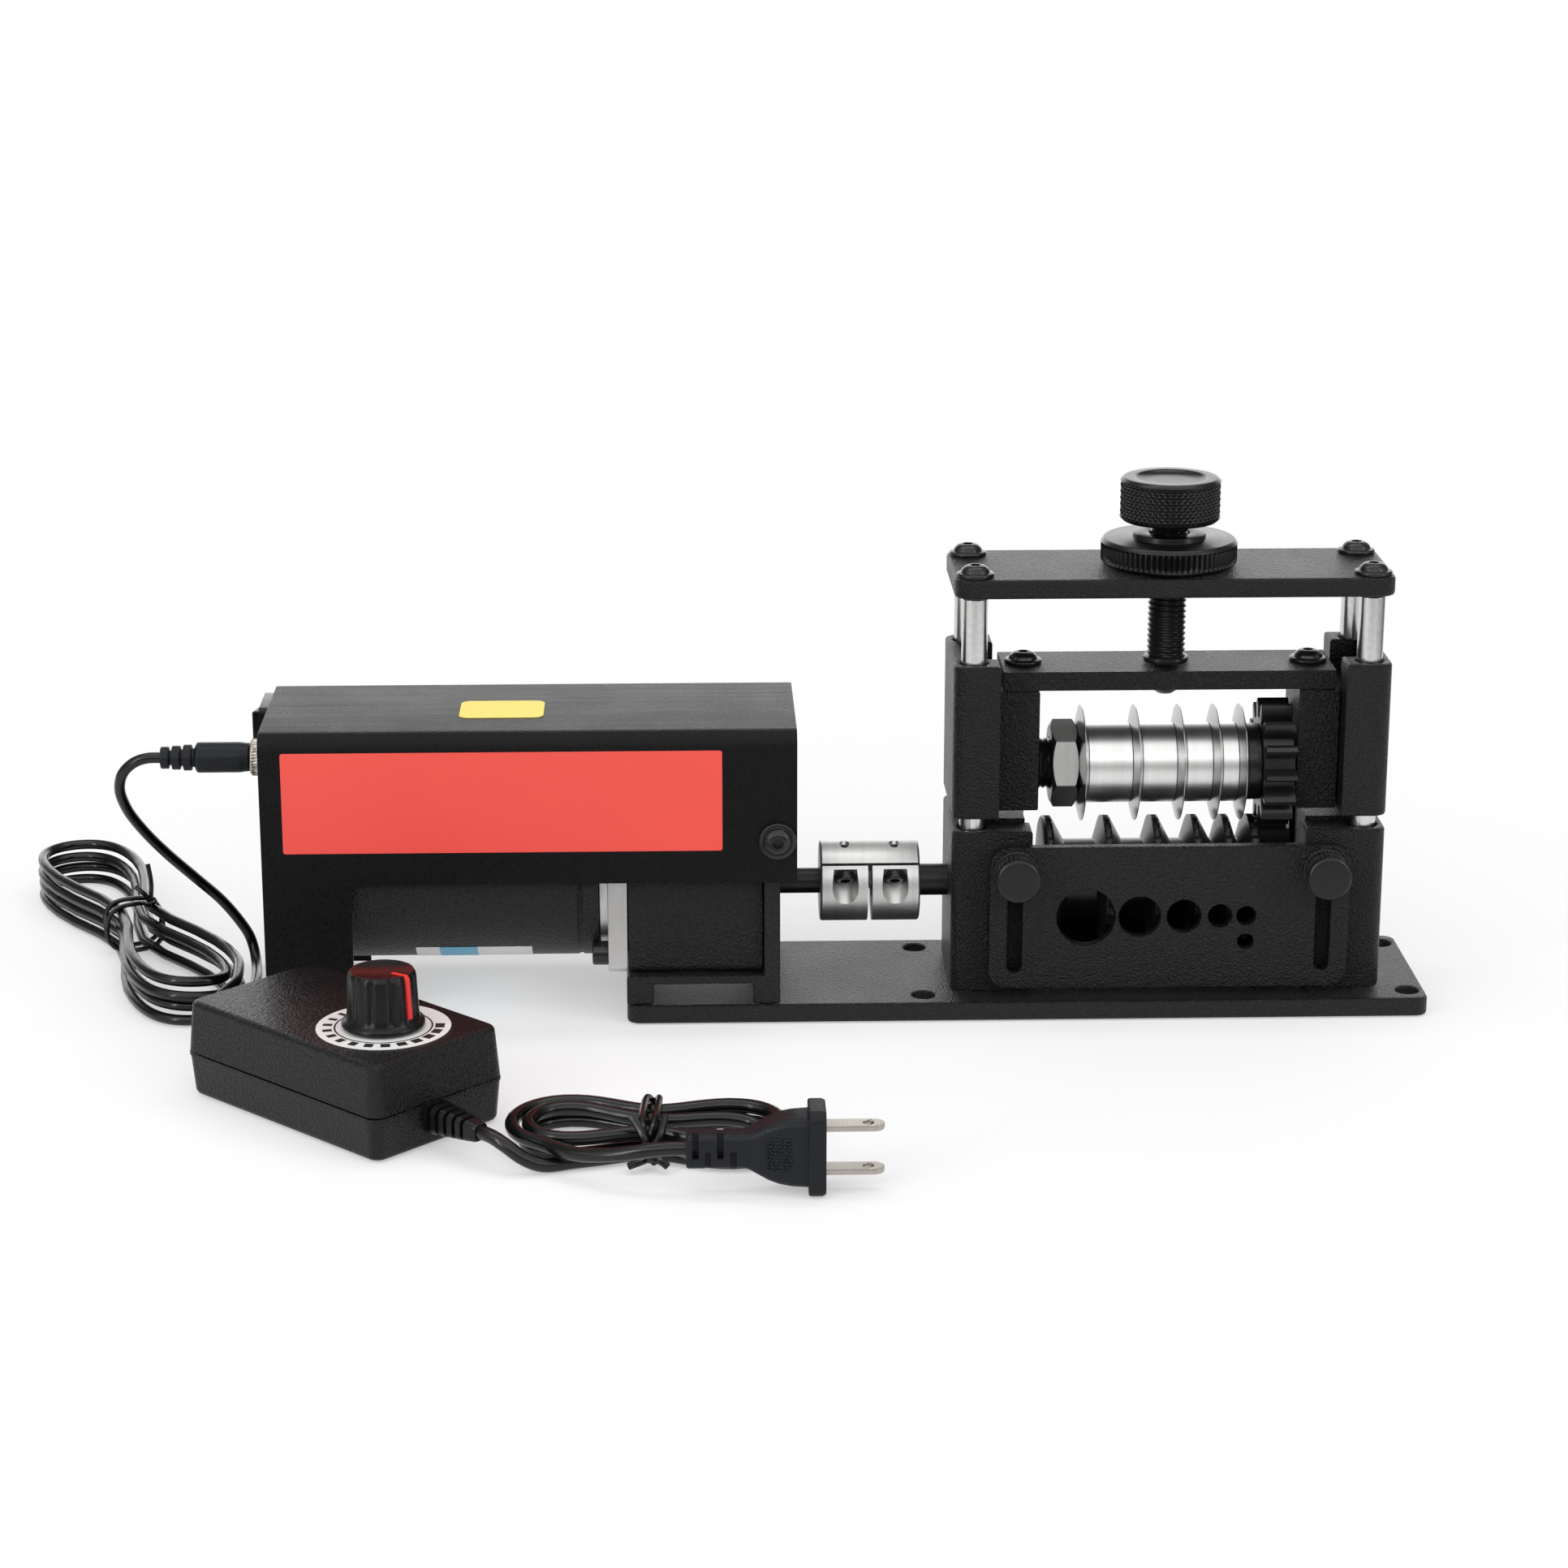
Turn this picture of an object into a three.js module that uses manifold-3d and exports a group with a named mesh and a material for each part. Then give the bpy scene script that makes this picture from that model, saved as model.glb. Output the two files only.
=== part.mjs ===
// Electric wire stripping machine: a motor drives a grooved feed roller, and five round blades above it
// slit the insulation of a wire that is fed through a hole in the front guide plate.
// Millimetres, +X to the right along the base plate, +Y away from the user, +Z up.
// The origin is the middle of the base plate's underside, which stands on the bench.
import * as THREE from "three";
import { mergeVertices } from "three/addons/utils/BufferGeometryUtils.js";
import Module from "manifold-3d";

const wasm = await Module();
wasm.setup();

// General values
const seatGap = 0.3; // left between pieces that are screwed, pressed or laid together
const stackGap = 0.1; // between the blades and spacers that the nut clamps
const runningGap = 0.3; // radial, between a shaft or rod and its bore
const cutOverrun = 1; // a cut runs this far past the face that it opens
const shareTolerance = 0.0001; // corners closer than this are one corner
const wheelSides = 32;
const roundSides = 28;
const smallSides = 16;
const plateSteps = 6; // quarter arcs in the plates are this many steps
const cornerSteps = 4;

// Base plate
const baseLength = 250;
const baseWidth = 62;
const baseThickness = 6;
const baseCorner = 4;
const mountHoleDiameter = 7;
const mountMargin = 8.5; // the mounting holes stand this far outside the head's ends
const mountPitchY = 46;

// Stripping head: two fixed sides, four guide rods and a top plate
const headLength = 135;
const headMargin = 14; // from the head to the right end of the base plate
const headDepth = 43;
const sideWall = 4;
const sideArm = 11;
const sideCorner = 4;
const lowerSideReach = 25;
const lowerSideHeight = 52.1;
const bearingInset = 1.5; // the lower bearing blocks stand back from the ends of the arms
const bearingRise = 1; // and stand this much above them
const rodDiameter = 8;
const rodInset = 6.5; // the rods' axes, inside the head's ends
const rodPitchY = 30;
const topPlateThickness = 6;
const topPlateCorner = 5;

// Carriage that holds the blade shaft
const carriageGap = 4; // rest height above the fixed sides
const carriageHeight = 48.6;
const carriageReach = 14.3;
const carriageHeadroom = 21.2; // from the carriage up to the top plate
const crossbarThickness = 6;
const crossbarDepth = 26;
const crossbarSetDown = 3.8; // the crossbar's top lies below the top of the carriage sides
const crossbarEndGap = 1.7;
const blockWidth = 12.7;

// Stay that ties the fixed sides together at the rear, below the wire
const stayDepth = 3.7;
const stayHeight = 17.7;

// Shafts, roller, blades and gears
const rollerAxisHeight = 36.5;
const shaftDistance = 38;
const rollerShaftDiameter = 10;
const bladeShaftDiameter = 16;
const journalDiameter = 12;
const journalLength = 17;
const rollerDiameter = 40;
const grooveDepth = 7.5;
const crestWidth = 2.4;
const flankRun = 3.2; // how far a groove's flank leans over its whole depth
const leastGrooveFloor = 0.6;
const firstCrestOffset = 10; // from the first blade to the roller's first crest
const lastCrestOffset = 4.1;
const rollerEndShoulder = 0.6;
const bladeDiameter = 36.5;
const bladeThickness = 3;
const bladeEdge = 0.2;
const bladeBevel = 5.5;
const spacerDiameter = 25;
const firstBladeOffset = -25.9; // from the head's middle
const bladeSpacings = [16.8, 13.8, 11.2, 8.2];
const gearModule = 2.5;
const gearTeeth = 14;
const gearPressureAngle = 20; // degrees
const gearBacklash = 0.25;
const gearWidth = 9.8;
const gearEndGap = 0.6; // from the gears to the bearing blocks
const hubDiameter = 24;
const nutAcrossFlats = 24;
const nutThickness = 8.2;
const nutChamfer = 1.2;

// Adjusting screw, its knob and the lock wheel
const screwDiameter = 12;
const screwJournalDiameter = 7;
const screwHeadDiameter = 9.5;
const screwHeadHeight = 3.8;
const screwCollarDiameter = 14;
const screwCollarHeight = 1.6;
const screwNeckDiameter = 13.5;
const screwNeckHeight = 1.3;
const knobRise = 14; // from the top plate to the knob
const knobDiameter = 31;
const knobHeight = 13.5;
const knobChamfer = 1;
const knobDishDiameter = 22;
const knobDishDepth = 1.2;
const knobStubDiameter = 8;
const knobStubDepth = 7;
const lockWheelDiameter = 42;
const lockWheelHeight = 8.2;
const lockWheelChamfer = 1;
const lockHubDiameter = 22.5;
const lockHubHeight = 1.6;

// Guide plate and its thumb screws
const guideLength = 112;
const guideHeight = 46;
const guideThickness = 4;
const guideCorner = 6;
const guideRise = 2.5; // above the base plate
const guideHoleDiameters = [18.2, 13, 10.6, 7.4, 6];
const guideHoleHeight = 23.3; // above the guide plate's lower edge
const extraHoleDiameter = 5;
const extraHoleDrop = 8.4;
const slotPitch = 96;
const slotWidth = 4.6;
const slotFoot = 5.3; // from the guide plate's lower edge to the slots
const slotLength = 35.6;
const thumbDiameter = 13.6;
const thumbLength = 10;
const thumbChamfer = 0.6;
const thumbStemDiameter = 4;
const thumbStemDepth = 8; // in the fixed sides
const thumbHeight = 46.8;

// Motor bracket, gearbox and motor
const bracketLength = 47.5;
const bracketWidth = 61;
const bracketFootHeight = 9.2;
const bracketPlateThickness = 5;
const bracketHeight = 92.2; // its top, above the bench
const bracketWindowLength = 31;
const bracketWindowInset = 8.3;
const bracketWindowHeight = 6.4;
const bracketCorner = 0.8;
const gearboxLength = 41.6;
const gearboxSize = 57.4;
const gearboxBottom = 15.8;
const gearboxCorner = 3;
const gearboxBossDiameter = 20;
const outputShaftDiameter = 8;
const outputShaftSeat = 16; // how far the shaft reaches into the gearbox
const endPlateThickness = 5.9;
const endPlateBossDiameter = 56.6;
const endPlateBossThickness = 2.6;
const motorDiameter = 60;
const motorLength = 87;
const motorEdge = 2;
const motorCapDiameter = 22;
const motorCapLength = 3;

// Shaft coupling
const couplingDiameter = 25.4;
const couplingLength = 31.2;
const couplingClearance = 9.1; // from the coupling to the head
const couplingSlit = 1.2;
const couplingPocketDiameter = 8;
const couplingPocketDepth = 9.2; // from the coupling's axis to the clamp screws' axes
const couplingPocketPitch = 15.6;

// Motor cover, with its switch and its power jack
const coverLength = 163.7;
const coverEnd = -236; // its closed end
const coverWidth = 64;
const coverHeight = 94; // its top, above the bench
const coverSheet = 1.2;
const coverBend = 5;
const coverApron = 46.2; // height of the front and rear edges above the bench
const coverLegWidth = 27;
const coverLegFloor = 0.3; // the leg ends this far above the bench
const jackOffset = -16;
const jackDrop = 11; // its axis, below the cover's top
const jackNutDiameter = 11.5;
const jackNutThickness = 3.4;
const jackBarrelDiameter = 8;
const jackBodyLength = 10;
const jackBoreDiameter = 5.6;
const jackBoreDepth = 9;
const switchOffset = 16;
const switchDrop = 9; // its middle, below the cover's top
const switchBezelLength = 21;
const switchBezelHeight = 15;
const switchBezelThickness = 3;
const switchBezelRim = 1.6;
const switchBodyDepth = 11;
const switchWellDepth = 8;
const rockerTilt = 8; // degrees, each way from the middle
const rockerRadius = 7.6;
const rockerDepth = 3.2; // of its rounded underside, inside the cover's outer face
const rockerTaper = 0.8;
const rockerHeight = 1.6; // the rocker's ends, proud of the bezel

// Speed controller in the mains adapter
const adapterLength = 85;
const adapterWidth = 50;
const adapterHeight = 29;
const adapterSeam = 13.5;
const adapterCorner = 4;
const adapterEdge = 1.8;
const adapterDraft = 1.1;
const adapterTurn = -44.6; // degrees
const adapterPlace = [-206.7, -97.7];
const knobPlace = 18.2; // the speed knob, along the adapter
const speedKnobDiameter = 19.6;
const speedKnobHeight = 16.6;
const speedFlangeDiameter = 24;
const speedFlangeHeight = 1.6;
const speedKnobTaper = 0.6;
const speedFlutes = 12;
const speedFluteDepth = 0.5;
const dialGap = 0.8; // between the knob and the adapter, for the dial
const bushDiameter = 7;
const bushHeight = 6;
const reliefRootDiameter = 9;
const reliefTipDiameter = 6.4;
const reliefLength = 20;
const reliefHeight = 9.4;
const reliefRibs = 5;
const reliefRibDepth = 0.7;
const reliefCollar = 2;
const supplyReliefOffset = 6; // the machine-side relief, off the adapter's middle
const mainsReliefOffset = -3.4;

// Cords and plugs
const machineCordDiameter = 3.4;
const mainsCordDiameter = 4.2;
const machinePlugDiameter = 9.4;
const machinePlugLength = 16.5;
const machinePlugReliefDiameter = 7.6;
const machinePlugReliefLength = 10.8;
const machinePlugPinDiameter = 5;
const machinePlugPinLength = 7;
const mainsPlugPlace = [-107.3, -165.3]; // where the cord enters the mains plug
const mainsPlugReliefLength = 16;
const mainsPlugReliefHeight = 10;
const mainsPlugReliefWidth = 8;
const mainsPlugBodyLength = 17.6;
const mainsPlugBodyHeight = 20.4;
const mainsPlugBodyWidth = 13;
const mainsPlugFlangeHeight = 25;
const mainsPlugFlangeWidth = 15;
const mainsPlugFlangeThickness = 4.8;
const prongPitch = 12.7;
const prongWidth = 6.35;
const prongThickness = 1.5;
const prongLength = 16.3;
const prongRoot = 2; // how far a prong is moulded into the plug
const prongHoleDiameter = 3;
const prongHoleInset = 4.5;

// Routes of the free stretches of cord, through points chosen by eye
const machineLeadRoute = [
  [-275.2, -15.8, 81.7],
  [-279.2, -14.4, 77.9],
  [-281, -11.6, 72],
  [-279.8, -7.2, 64.2],
  [-275.8, -0.8, 55],
  [-270, 7, 45],
  [-262.6, 15.6, 34.2],
  [-255.4, 23.9, 23.6],
  [-250.2, 28.2, 14.6],
  [-248, 29.5, 10],
  [-246.6, 28.4, 5.9],
  [-245.7, 25.2, 3],
  [-245, 20.6, 1.8],
  [-244.2, 12.6, 1.7],
  [-244.1, 3.4, 1.7],
];
const machineTailRoute = [
  [-246.2, -26.6, 13.4],
  [-248.7, -32.2, 12.5],
  [-250.9, -37, 11.5],
  [-251.7, -42.1, 10.3],
];
const mainsLeadRoute = [
  [-157.6, -149.9, 7.8],
  [-152.4, -151.4, 4.4],
  [-147.2, -151, 2.3],
];
const mainsTailRoute = [
  [-138.6, -155.4, 7.4],
  [-131.6, -159.8, 8.6],
  [-124, -163.1, 10.3],
  [-116.6, -165, 12],
];
const routeStep = 2.4; // spacing of a free stretch's rings, in cord diameters

// Hanks: the spare cord, wound in long loops and drawn in at the waist by a tie
const hankStepsPerTurn = 30;
const machineHank = {
  centre: [-287.5, 46],
  heading: -66.4, // degrees
  halfLength: 76,
  halfWidth: 14.5,
  fullness: 2.5, // how squarely the loop's sides run before its round ends
  drawShare: 0.82, // of the half width that the tie takes in at the waist
  waist: 34, // how far along the loop the tie's pull reaches
  pitch: 4,
  rise: 4,
  turns: 4,
  layers: 4,
  startAngle: 45,
  direction: -1,
  startsOnTop: false,
};
const mainsHank = {
  centre: [-117, -132],
  heading: -4,
  halfLength: 33,
  halfWidth: 19,
  fullness: 1,
  drawShare: 0.79,
  waist: 23,
  pitch: 4.8,
  rise: 4.8,
  turns: 2.93,
  layers: 2,
  startAngle: 240,
  direction: 1,
  startsOnTop: false,
};
const waistSlopeStep = 0.001; // radians, for the direction across a hank's outline
const hankGapSamples = 90; // points on each turn where the gap between turns is measured
const hankNearby = 5; // diameters along the cord that count as the same stretch

// Colours, roughness and metalness of the finishes
const finishes = {
  powderCoat: { color: 0x17181a, roughness: 0.55, metalness: 0.3 },
  coverCoat: { color: 0x1b1c1e, roughness: 0.45, metalness: 0.3 },
  anodised: { color: 0x121213, roughness: 0.45, metalness: 0.4 },
  blackOxide: { color: 0x0d0d0e, roughness: 0.3, metalness: 0.6 },
  steel: { color: 0xc9cacc, roughness: 0.25, metalness: 1 },
  aluminium: { color: 0xd6d7d9, roughness: 0.35, metalness: 1 },
  nickel: { color: 0xb9b3a8, roughness: 0.3, metalness: 1 },
  blackPlastic: { color: 0x121214, roughness: 0.5, metalness: 0 },
  cordJacket: { color: 0x0e0e0f, roughness: 0.4, metalness: 0 },
};

// Places that follow from the sizes above
const headOffset = baseLength / 2 - headMargin - headLength / 2; // the head's middle
const headFront = -headDepth / 2;
const rodPitchX = headLength - rodInset * 2;
const mountPitchX = headLength + mountMargin * 2;
const couplingOffset = headOffset - headLength / 2 - couplingClearance - couplingLength / 2;
const lowerSideBottom = baseThickness + seatGap;
const lowerSideTop = lowerSideBottom + lowerSideHeight;
const carriageBottom = lowerSideTop + carriageGap;
const carriageTop = carriageBottom + carriageHeight;
const crossbarTop = carriageTop - crossbarSetDown;
const crossbarBottom = crossbarTop - crossbarThickness;
const topPlateBottom = carriageTop + carriageHeadroom;
const topPlateTop = topPlateBottom + topPlateThickness;
const bladeAxisHeight = rollerAxisHeight + shaftDistance;
const sideOuter = headLength / 2;
const sideInner = sideOuter - sideWall; // the inside of a side's web
const armInner = headDepth / 2 - sideArm; // the inside of the arms, each way from the middle
const carriageInner = sideOuter - carriageReach;
const blockOuter = carriageInner - seatGap;
const blockInner = blockOuter - blockWidth;
const gearRight = blockInner - gearEndGap;
const gearLeft = gearRight - gearWidth;
const bladeOffsets = bladeSpacings.reduce(
  (places, spacing) => [...places, places[places.length - 1] + spacing],
  [firstBladeOffset],
);
const lastBladeOffset = bladeOffsets[bladeOffsets.length - 1];
const bracketRight = -baseLength / 2 + bracketLength;
const bracketPlateLeft = bracketRight - bracketPlateThickness;
const gearboxRight = bracketPlateLeft - seatGap;
const gearboxLeft = gearboxRight - gearboxLength;
const gearboxMiddle = gearboxBottom + gearboxSize / 2;
const endPlateRight = gearboxLeft - seatGap;
const endPlateLeft = endPlateRight - endPlateThickness;
const motorRight = endPlateLeft - endPlateBossThickness - seatGap;
const motorLeft = motorRight - motorLength;
const coverRight = coverEnd + coverLength;
const jackHeight = coverHeight - jackDrop;
const switchHeight = coverHeight - switchDrop;
const mainsPlugHeight = mainsPlugFlangeHeight / 2;

// Solids: every piece is joined and cut as a closed solid, and then becomes a mesh again
function solidOf(geometry) {
  const flat = geometry.index ? geometry.toNonIndexed() : geometry;
  const bare = new THREE.BufferGeometry().setAttribute("position", flat.getAttribute("position"));
  const merged = mergeVertices(bare, shareTolerance);
  const corners = merged.index.array;
  const kept = [];
  for (let i = 0; i < corners.length; i += 3) {
    const [a, b, c] = [corners[i], corners[i + 1], corners[i + 2]];
    if (a !== b && b !== c && c !== a) kept.push(a, b, c);
  }
  const vertProperties = merged.getAttribute("position").array;
  const build = (triVerts) =>
    new wasm.Manifold(new wasm.Mesh({ numProp: 3, vertProperties, triVerts: new Uint32Array(triVerts) }));
  const solid = build(kept);
  return solid.volume() < 0 ? build(kept.reverse()) : solid;
}

function geometryOf(solid) {
  const mesh = solid.getMesh();
  const positions = new Float32Array(mesh.numVert * 3);
  for (let i = 0; i < mesh.numVert; i += 1) {
    positions.set(mesh.vertProperties.subarray(i * mesh.numProp, i * mesh.numProp + 3), i * 3);
  }
  const geometry = new THREE.BufferGeometry();
  geometry.setAttribute("position", new THREE.BufferAttribute(positions, 3));
  geometry.setIndex(new THREE.BufferAttribute(new Uint32Array(mesh.triVerts), 1));
  const faceted = geometry.toNonIndexed();
  faceted.computeVertexNormals();
  return faceted;
}

const join = (...solids) => solids.reduce((sum, solid) => sum.add(solid));
const cut = (solid, ...tools) => tools.reduce((rest, tool) => rest.subtract(tool), solid);

// A block between two corners
function block([x0, x1], [y0, y1], [z0, z1]) {
  const geometry = new THREE.BoxGeometry(x1 - x0, y1 - y0, z1 - z0);
  geometry.translate((x0 + x1) / 2, (y0 + y1) / 2, (z0 + z1) / 2);
  return solidOf(geometry);
}

// Flat outlines
function roundedRectangle([u0, u1], [v0, v1], corner) {
  const shape = new THREE.Shape();
  shape.moveTo(u0 + corner, v0);
  shape.lineTo(u1 - corner, v0);
  shape.absarc(u1 - corner, v0 + corner, corner, -Math.PI / 2, 0);
  shape.lineTo(u1, v1 - corner);
  shape.absarc(u1 - corner, v1 - corner, corner, 0, Math.PI / 2);
  shape.lineTo(u0 + corner, v1);
  shape.absarc(u0 + corner, v1 - corner, corner, Math.PI / 2, Math.PI);
  shape.lineTo(u0, v0 + corner);
  shape.absarc(u0 + corner, v0 + corner, corner, Math.PI, Math.PI * 1.5);
  return shape;
}

function polygon(points) {
  return new THREE.Shape(points.map(([u, v]) => new THREE.Vector2(u, v)));
}

// Extrusions: along Z from an outline in X and Y, along Y from X and Z, and along X from Y and Z
function extruded(axis, shape, [from, to], curveSegments = cornerSteps) {
  const geometry = new THREE.ExtrudeGeometry(shape, { depth: to - from, bevelEnabled: false, curveSegments });
  if (axis === "z") geometry.translate(0, 0, from);
  if (axis === "y") geometry.rotateX(Math.PI / 2).translate(0, to, 0);
  if (axis === "x") {
    const turn = new THREE.Matrix4().makeBasis(
      new THREE.Vector3(0, 1, 0),
      new THREE.Vector3(0, 0, 1),
      new THREE.Vector3(1, 0, 0),
    );
    geometry.applyMatrix4(turn).translate(from, 0, 0);
  }
  return solidOf(geometry);
}

// A turned piece: its outline is a list of radius and distance along the axis
function turned(axis, outline, [x, y, z], sides = roundSides) {
  const points = outline.map(([radius, along]) => new THREE.Vector2(radius, along));
  const onAxis = outline[0][0] === 0 && outline[outline.length - 1][0] === 0;
  if (!onAxis) points.push(points[0].clone());
  const geometry = new THREE.LatheGeometry(points, sides);
  if (axis === "x") geometry.rotateZ(-Math.PI / 2);
  if (axis === "z") geometry.rotateX(Math.PI / 2);
  geometry.translate(x, y, z);
  return solidOf(geometry);
}

function cylinder(axis, radius, [from, to], [x, y, z], sides = roundSides) {
  const outline = [
    [0, from],
    [radius, from],
    [radius, to],
    [0, to],
  ];
  return turned(axis, outline, [x, y, z], sides);
}

// A solid through rings of points, all of them convex and with the same count
function lofted(rings) {
  const count = rings[0].length;
  const positions = rings.flat().flatMap((point) => [point.x, point.y, point.z]);
  const index = [];
  for (let ring = 0; ring + 1 < rings.length; ring += 1) {
    for (let i = 0; i < count; i += 1) {
      const a = ring * count + i;
      const b = ring * count + ((i + 1) % count);
      index.push(a, b, b + count, a, b + count, a + count);
    }
  }
  const last = (rings.length - 1) * count;
  for (let i = 1; i + 1 < count; i += 1) {
    index.push(0, i + 1, i, last, last + i, last + i + 1);
  }
  const geometry = new THREE.BufferGeometry();
  geometry.setAttribute("position", new THREE.Float32BufferAttribute(positions, 3));
  geometry.setIndex(index);
  return solidOf(geometry);
}

// A ring for a loft: a rounded rectangle about the middle, at one height
function rectangleRing(length, width, corner, height) {
  const points = [];
  for (let step = 0; step < 4 * (cornerSteps + 1); step += 1) {
    const quarter = Math.floor(step / (cornerSteps + 1));
    const angle = ((quarter + (step % (cornerSteps + 1)) / cornerSteps) * Math.PI) / 2;
    const right = quarter === 0 || quarter === 3 ? 1 : -1;
    const up = quarter < 2 ? 1 : -1;
    const x = right * (length / 2 - corner) + corner * Math.cos(angle);
    const y = up * (width / 2 - corner) + corner * Math.sin(angle);
    points.push(new THREE.Vector3(x, y, height));
  }
  return points;
}

function place(group, name, solid, finish) {
  const material = new THREE.MeshStandardMaterial(finishes[finish]);
  material.name = finish;
  const mesh = new THREE.Mesh(geometryOf(solid), material);
  mesh.name = name;
  group.add(mesh);
}

// Base plate with the four holes that bolt it to a bench
function basePlate() {
  const outline = roundedRectangle([-baseLength / 2, baseLength / 2], [-baseWidth / 2, baseWidth / 2], baseCorner);
  for (const across of [-1, 1]) {
    for (const along of [-1, 1]) {
      const hole = new THREE.Path();
      const x = headOffset + (along * mountPitchX) / 2;
      hole.absarc(x, (across * mountPitchY) / 2, mountHoleDiameter / 2, 0, Math.PI * 2, true);
      outline.holes.push(hole);
    }
  }
  return extruded("z", outline, [0, baseThickness], plateSteps);
}

// One side of the head: a channel whose arms hold two guide rods, open towards the middle
function sideChannel(side, reach, [bottom, top]) {
  const outer = headOffset + side * sideOuter;
  const web = headOffset + side * sideInner;
  const tip = headOffset + side * (sideOuter - reach);
  const whole = roundedRectangle([Math.min(outer, tip), Math.max(outer, tip)], [headFront, -headFront], sideCorner);
  const square = [Math.min(outer, tip) + sideCorner, Math.max(outer, tip) - sideCorner];
  const tipSpan = side > 0 ? [tip, square[0] + cutOverrun] : [square[1] - cutOverrun, tip];
  const armEnds = block(tipSpan, [headFront, -headFront], [bottom, top]);
  const channelSpan = side > 0 ? [tip - cutOverrun, web] : [web, tip + cutOverrun];
  const channel = block(channelSpan, [-armInner, armInner], [bottom - cutOverrun, top + cutOverrun]);
  const bores = [-1, 1].map((across) =>
    cylinder(
      "z",
      rodDiameter / 2 + runningGap,
      [bottom - cutOverrun, top + cutOverrun],
      [headOffset + (side * rodPitchX) / 2, (across * rodPitchY) / 2, 0],
      smallSides,
    ),
  );
  return cut(join(extruded("z", whole, [bottom, top]), armEnds), channel, ...bores);
}

// Fixed side: the arms also take the thumb screws, and the left web lets the roller shaft through
function lowerSide(side) {
  const channel = sideChannel(side, lowerSideReach, [lowerSideBottom, lowerSideTop]);
  const thumbHole = cylinder(
    "y",
    thumbStemDiameter / 2 + runningGap,
    [headFront - cutOverrun, headFront + thumbStemDepth + runningGap],
    [headOffset + (side * slotPitch) / 2, 0, thumbHeight],
    smallSides,
  );
  if (side > 0) return cut(channel, thumbHole);
  const shaftHole = cylinder(
    "x",
    rollerShaftDiameter / 2 + runningGap,
    [headOffset - sideOuter - cutOverrun, headOffset - sideInner + cutOverrun],
    [0, 0, rollerAxisHeight],
  );
  return cut(channel, thumbHole, shaftHole);
}

// Bearing block of the roller shaft, held between the arms of a fixed side
function lowerBearing(side) {
  const inner = headOffset + side * (sideOuter - lowerSideReach + bearingInset);
  const outer = headOffset + side * (sideInner - seatGap);
  const span = [Math.min(inner, outer), Math.max(inner, outer)];
  const half = armInner - seatGap;
  const body = block(span, [-half, half], [lowerSideBottom, lowerSideTop + bearingRise]);
  const bore = cylinder(
    "x",
    rollerShaftDiameter / 2 + runningGap,
    [span[0] - cutOverrun, span[1] + cutOverrun],
    [0, 0, rollerAxisHeight],
  );
  return cut(body, bore);
}

// Bearing block of the blade shaft: its tongue lies between the arms of a carriage side
function upperBearing(side) {
  const at = (distance) => headOffset + side * distance;
  const tongueEnd = sideInner - seatGap;
  const ordered = (a, b) => [Math.min(a, b), Math.max(a, b)];
  const bottom = carriageBottom + seatGap;
  const top = crossbarBottom - seatGap;
  const body = block(ordered(at(blockInner), at(blockOuter)), [-crossbarDepth / 2, crossbarDepth / 2], [bottom, top]);
  const half = armInner - seatGap;
  const tongue = block(ordered(at(blockOuter - seatGap), at(tongueEnd)), [-half, half], [bottom, top]);
  const boreEnd = blockInner + journalLength + runningGap;
  const bore = cylinder(
    "x",
    journalDiameter / 2 + runningGap,
    ordered(at(blockInner - cutOverrun), at(boreEnd)),
    [0, 0, bladeAxisHeight],
  );
  return cut(join(body, tongue), bore);
}

function crossbar() {
  const half = carriageInner - crossbarEndGap;
  const bar = block(
    [headOffset - half, headOffset + half],
    [-crossbarDepth / 2, crossbarDepth / 2],
    [crossbarBottom, crossbarTop],
  );
  const hole = cylinder(
    "z",
    screwJournalDiameter / 2 + runningGap,
    [crossbarBottom - cutOverrun, crossbarTop + cutOverrun],
    [headOffset, 0, 0],
  );
  return cut(bar, hole);
}

// The rear stay stands on the base plate between the rear arms of the fixed sides
function rearStay() {
  const half = sideOuter - lowerSideReach - seatGap;
  const back = headDepth / 2;
  return block(
    [headOffset - half, headOffset + half],
    [back - stayDepth, back],
    [lowerSideBottom, lowerSideBottom + stayHeight],
  );
}

function topPlate() {
  const outline = roundedRectangle(
    [headOffset - headLength / 2, headOffset + headLength / 2],
    [headFront, -headFront],
    topPlateCorner,
  );
  const hole = new THREE.Path();
  hole.absarc(headOffset, 0, screwDiameter / 2 + runningGap, 0, Math.PI * 2, true);
  outline.holes.push(hole);
  return extruded("z", outline, [topPlateBottom, topPlateTop], plateSteps);
}

function guideRod(alongX, alongY) {
  return cylinder(
    "z",
    rodDiameter / 2,
    [lowerSideBottom, topPlateBottom - seatGap],
    [headOffset + (alongX * rodPitchX) / 2, (alongY * rodPitchY) / 2, 0],
    smallSides,
  );
}

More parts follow.
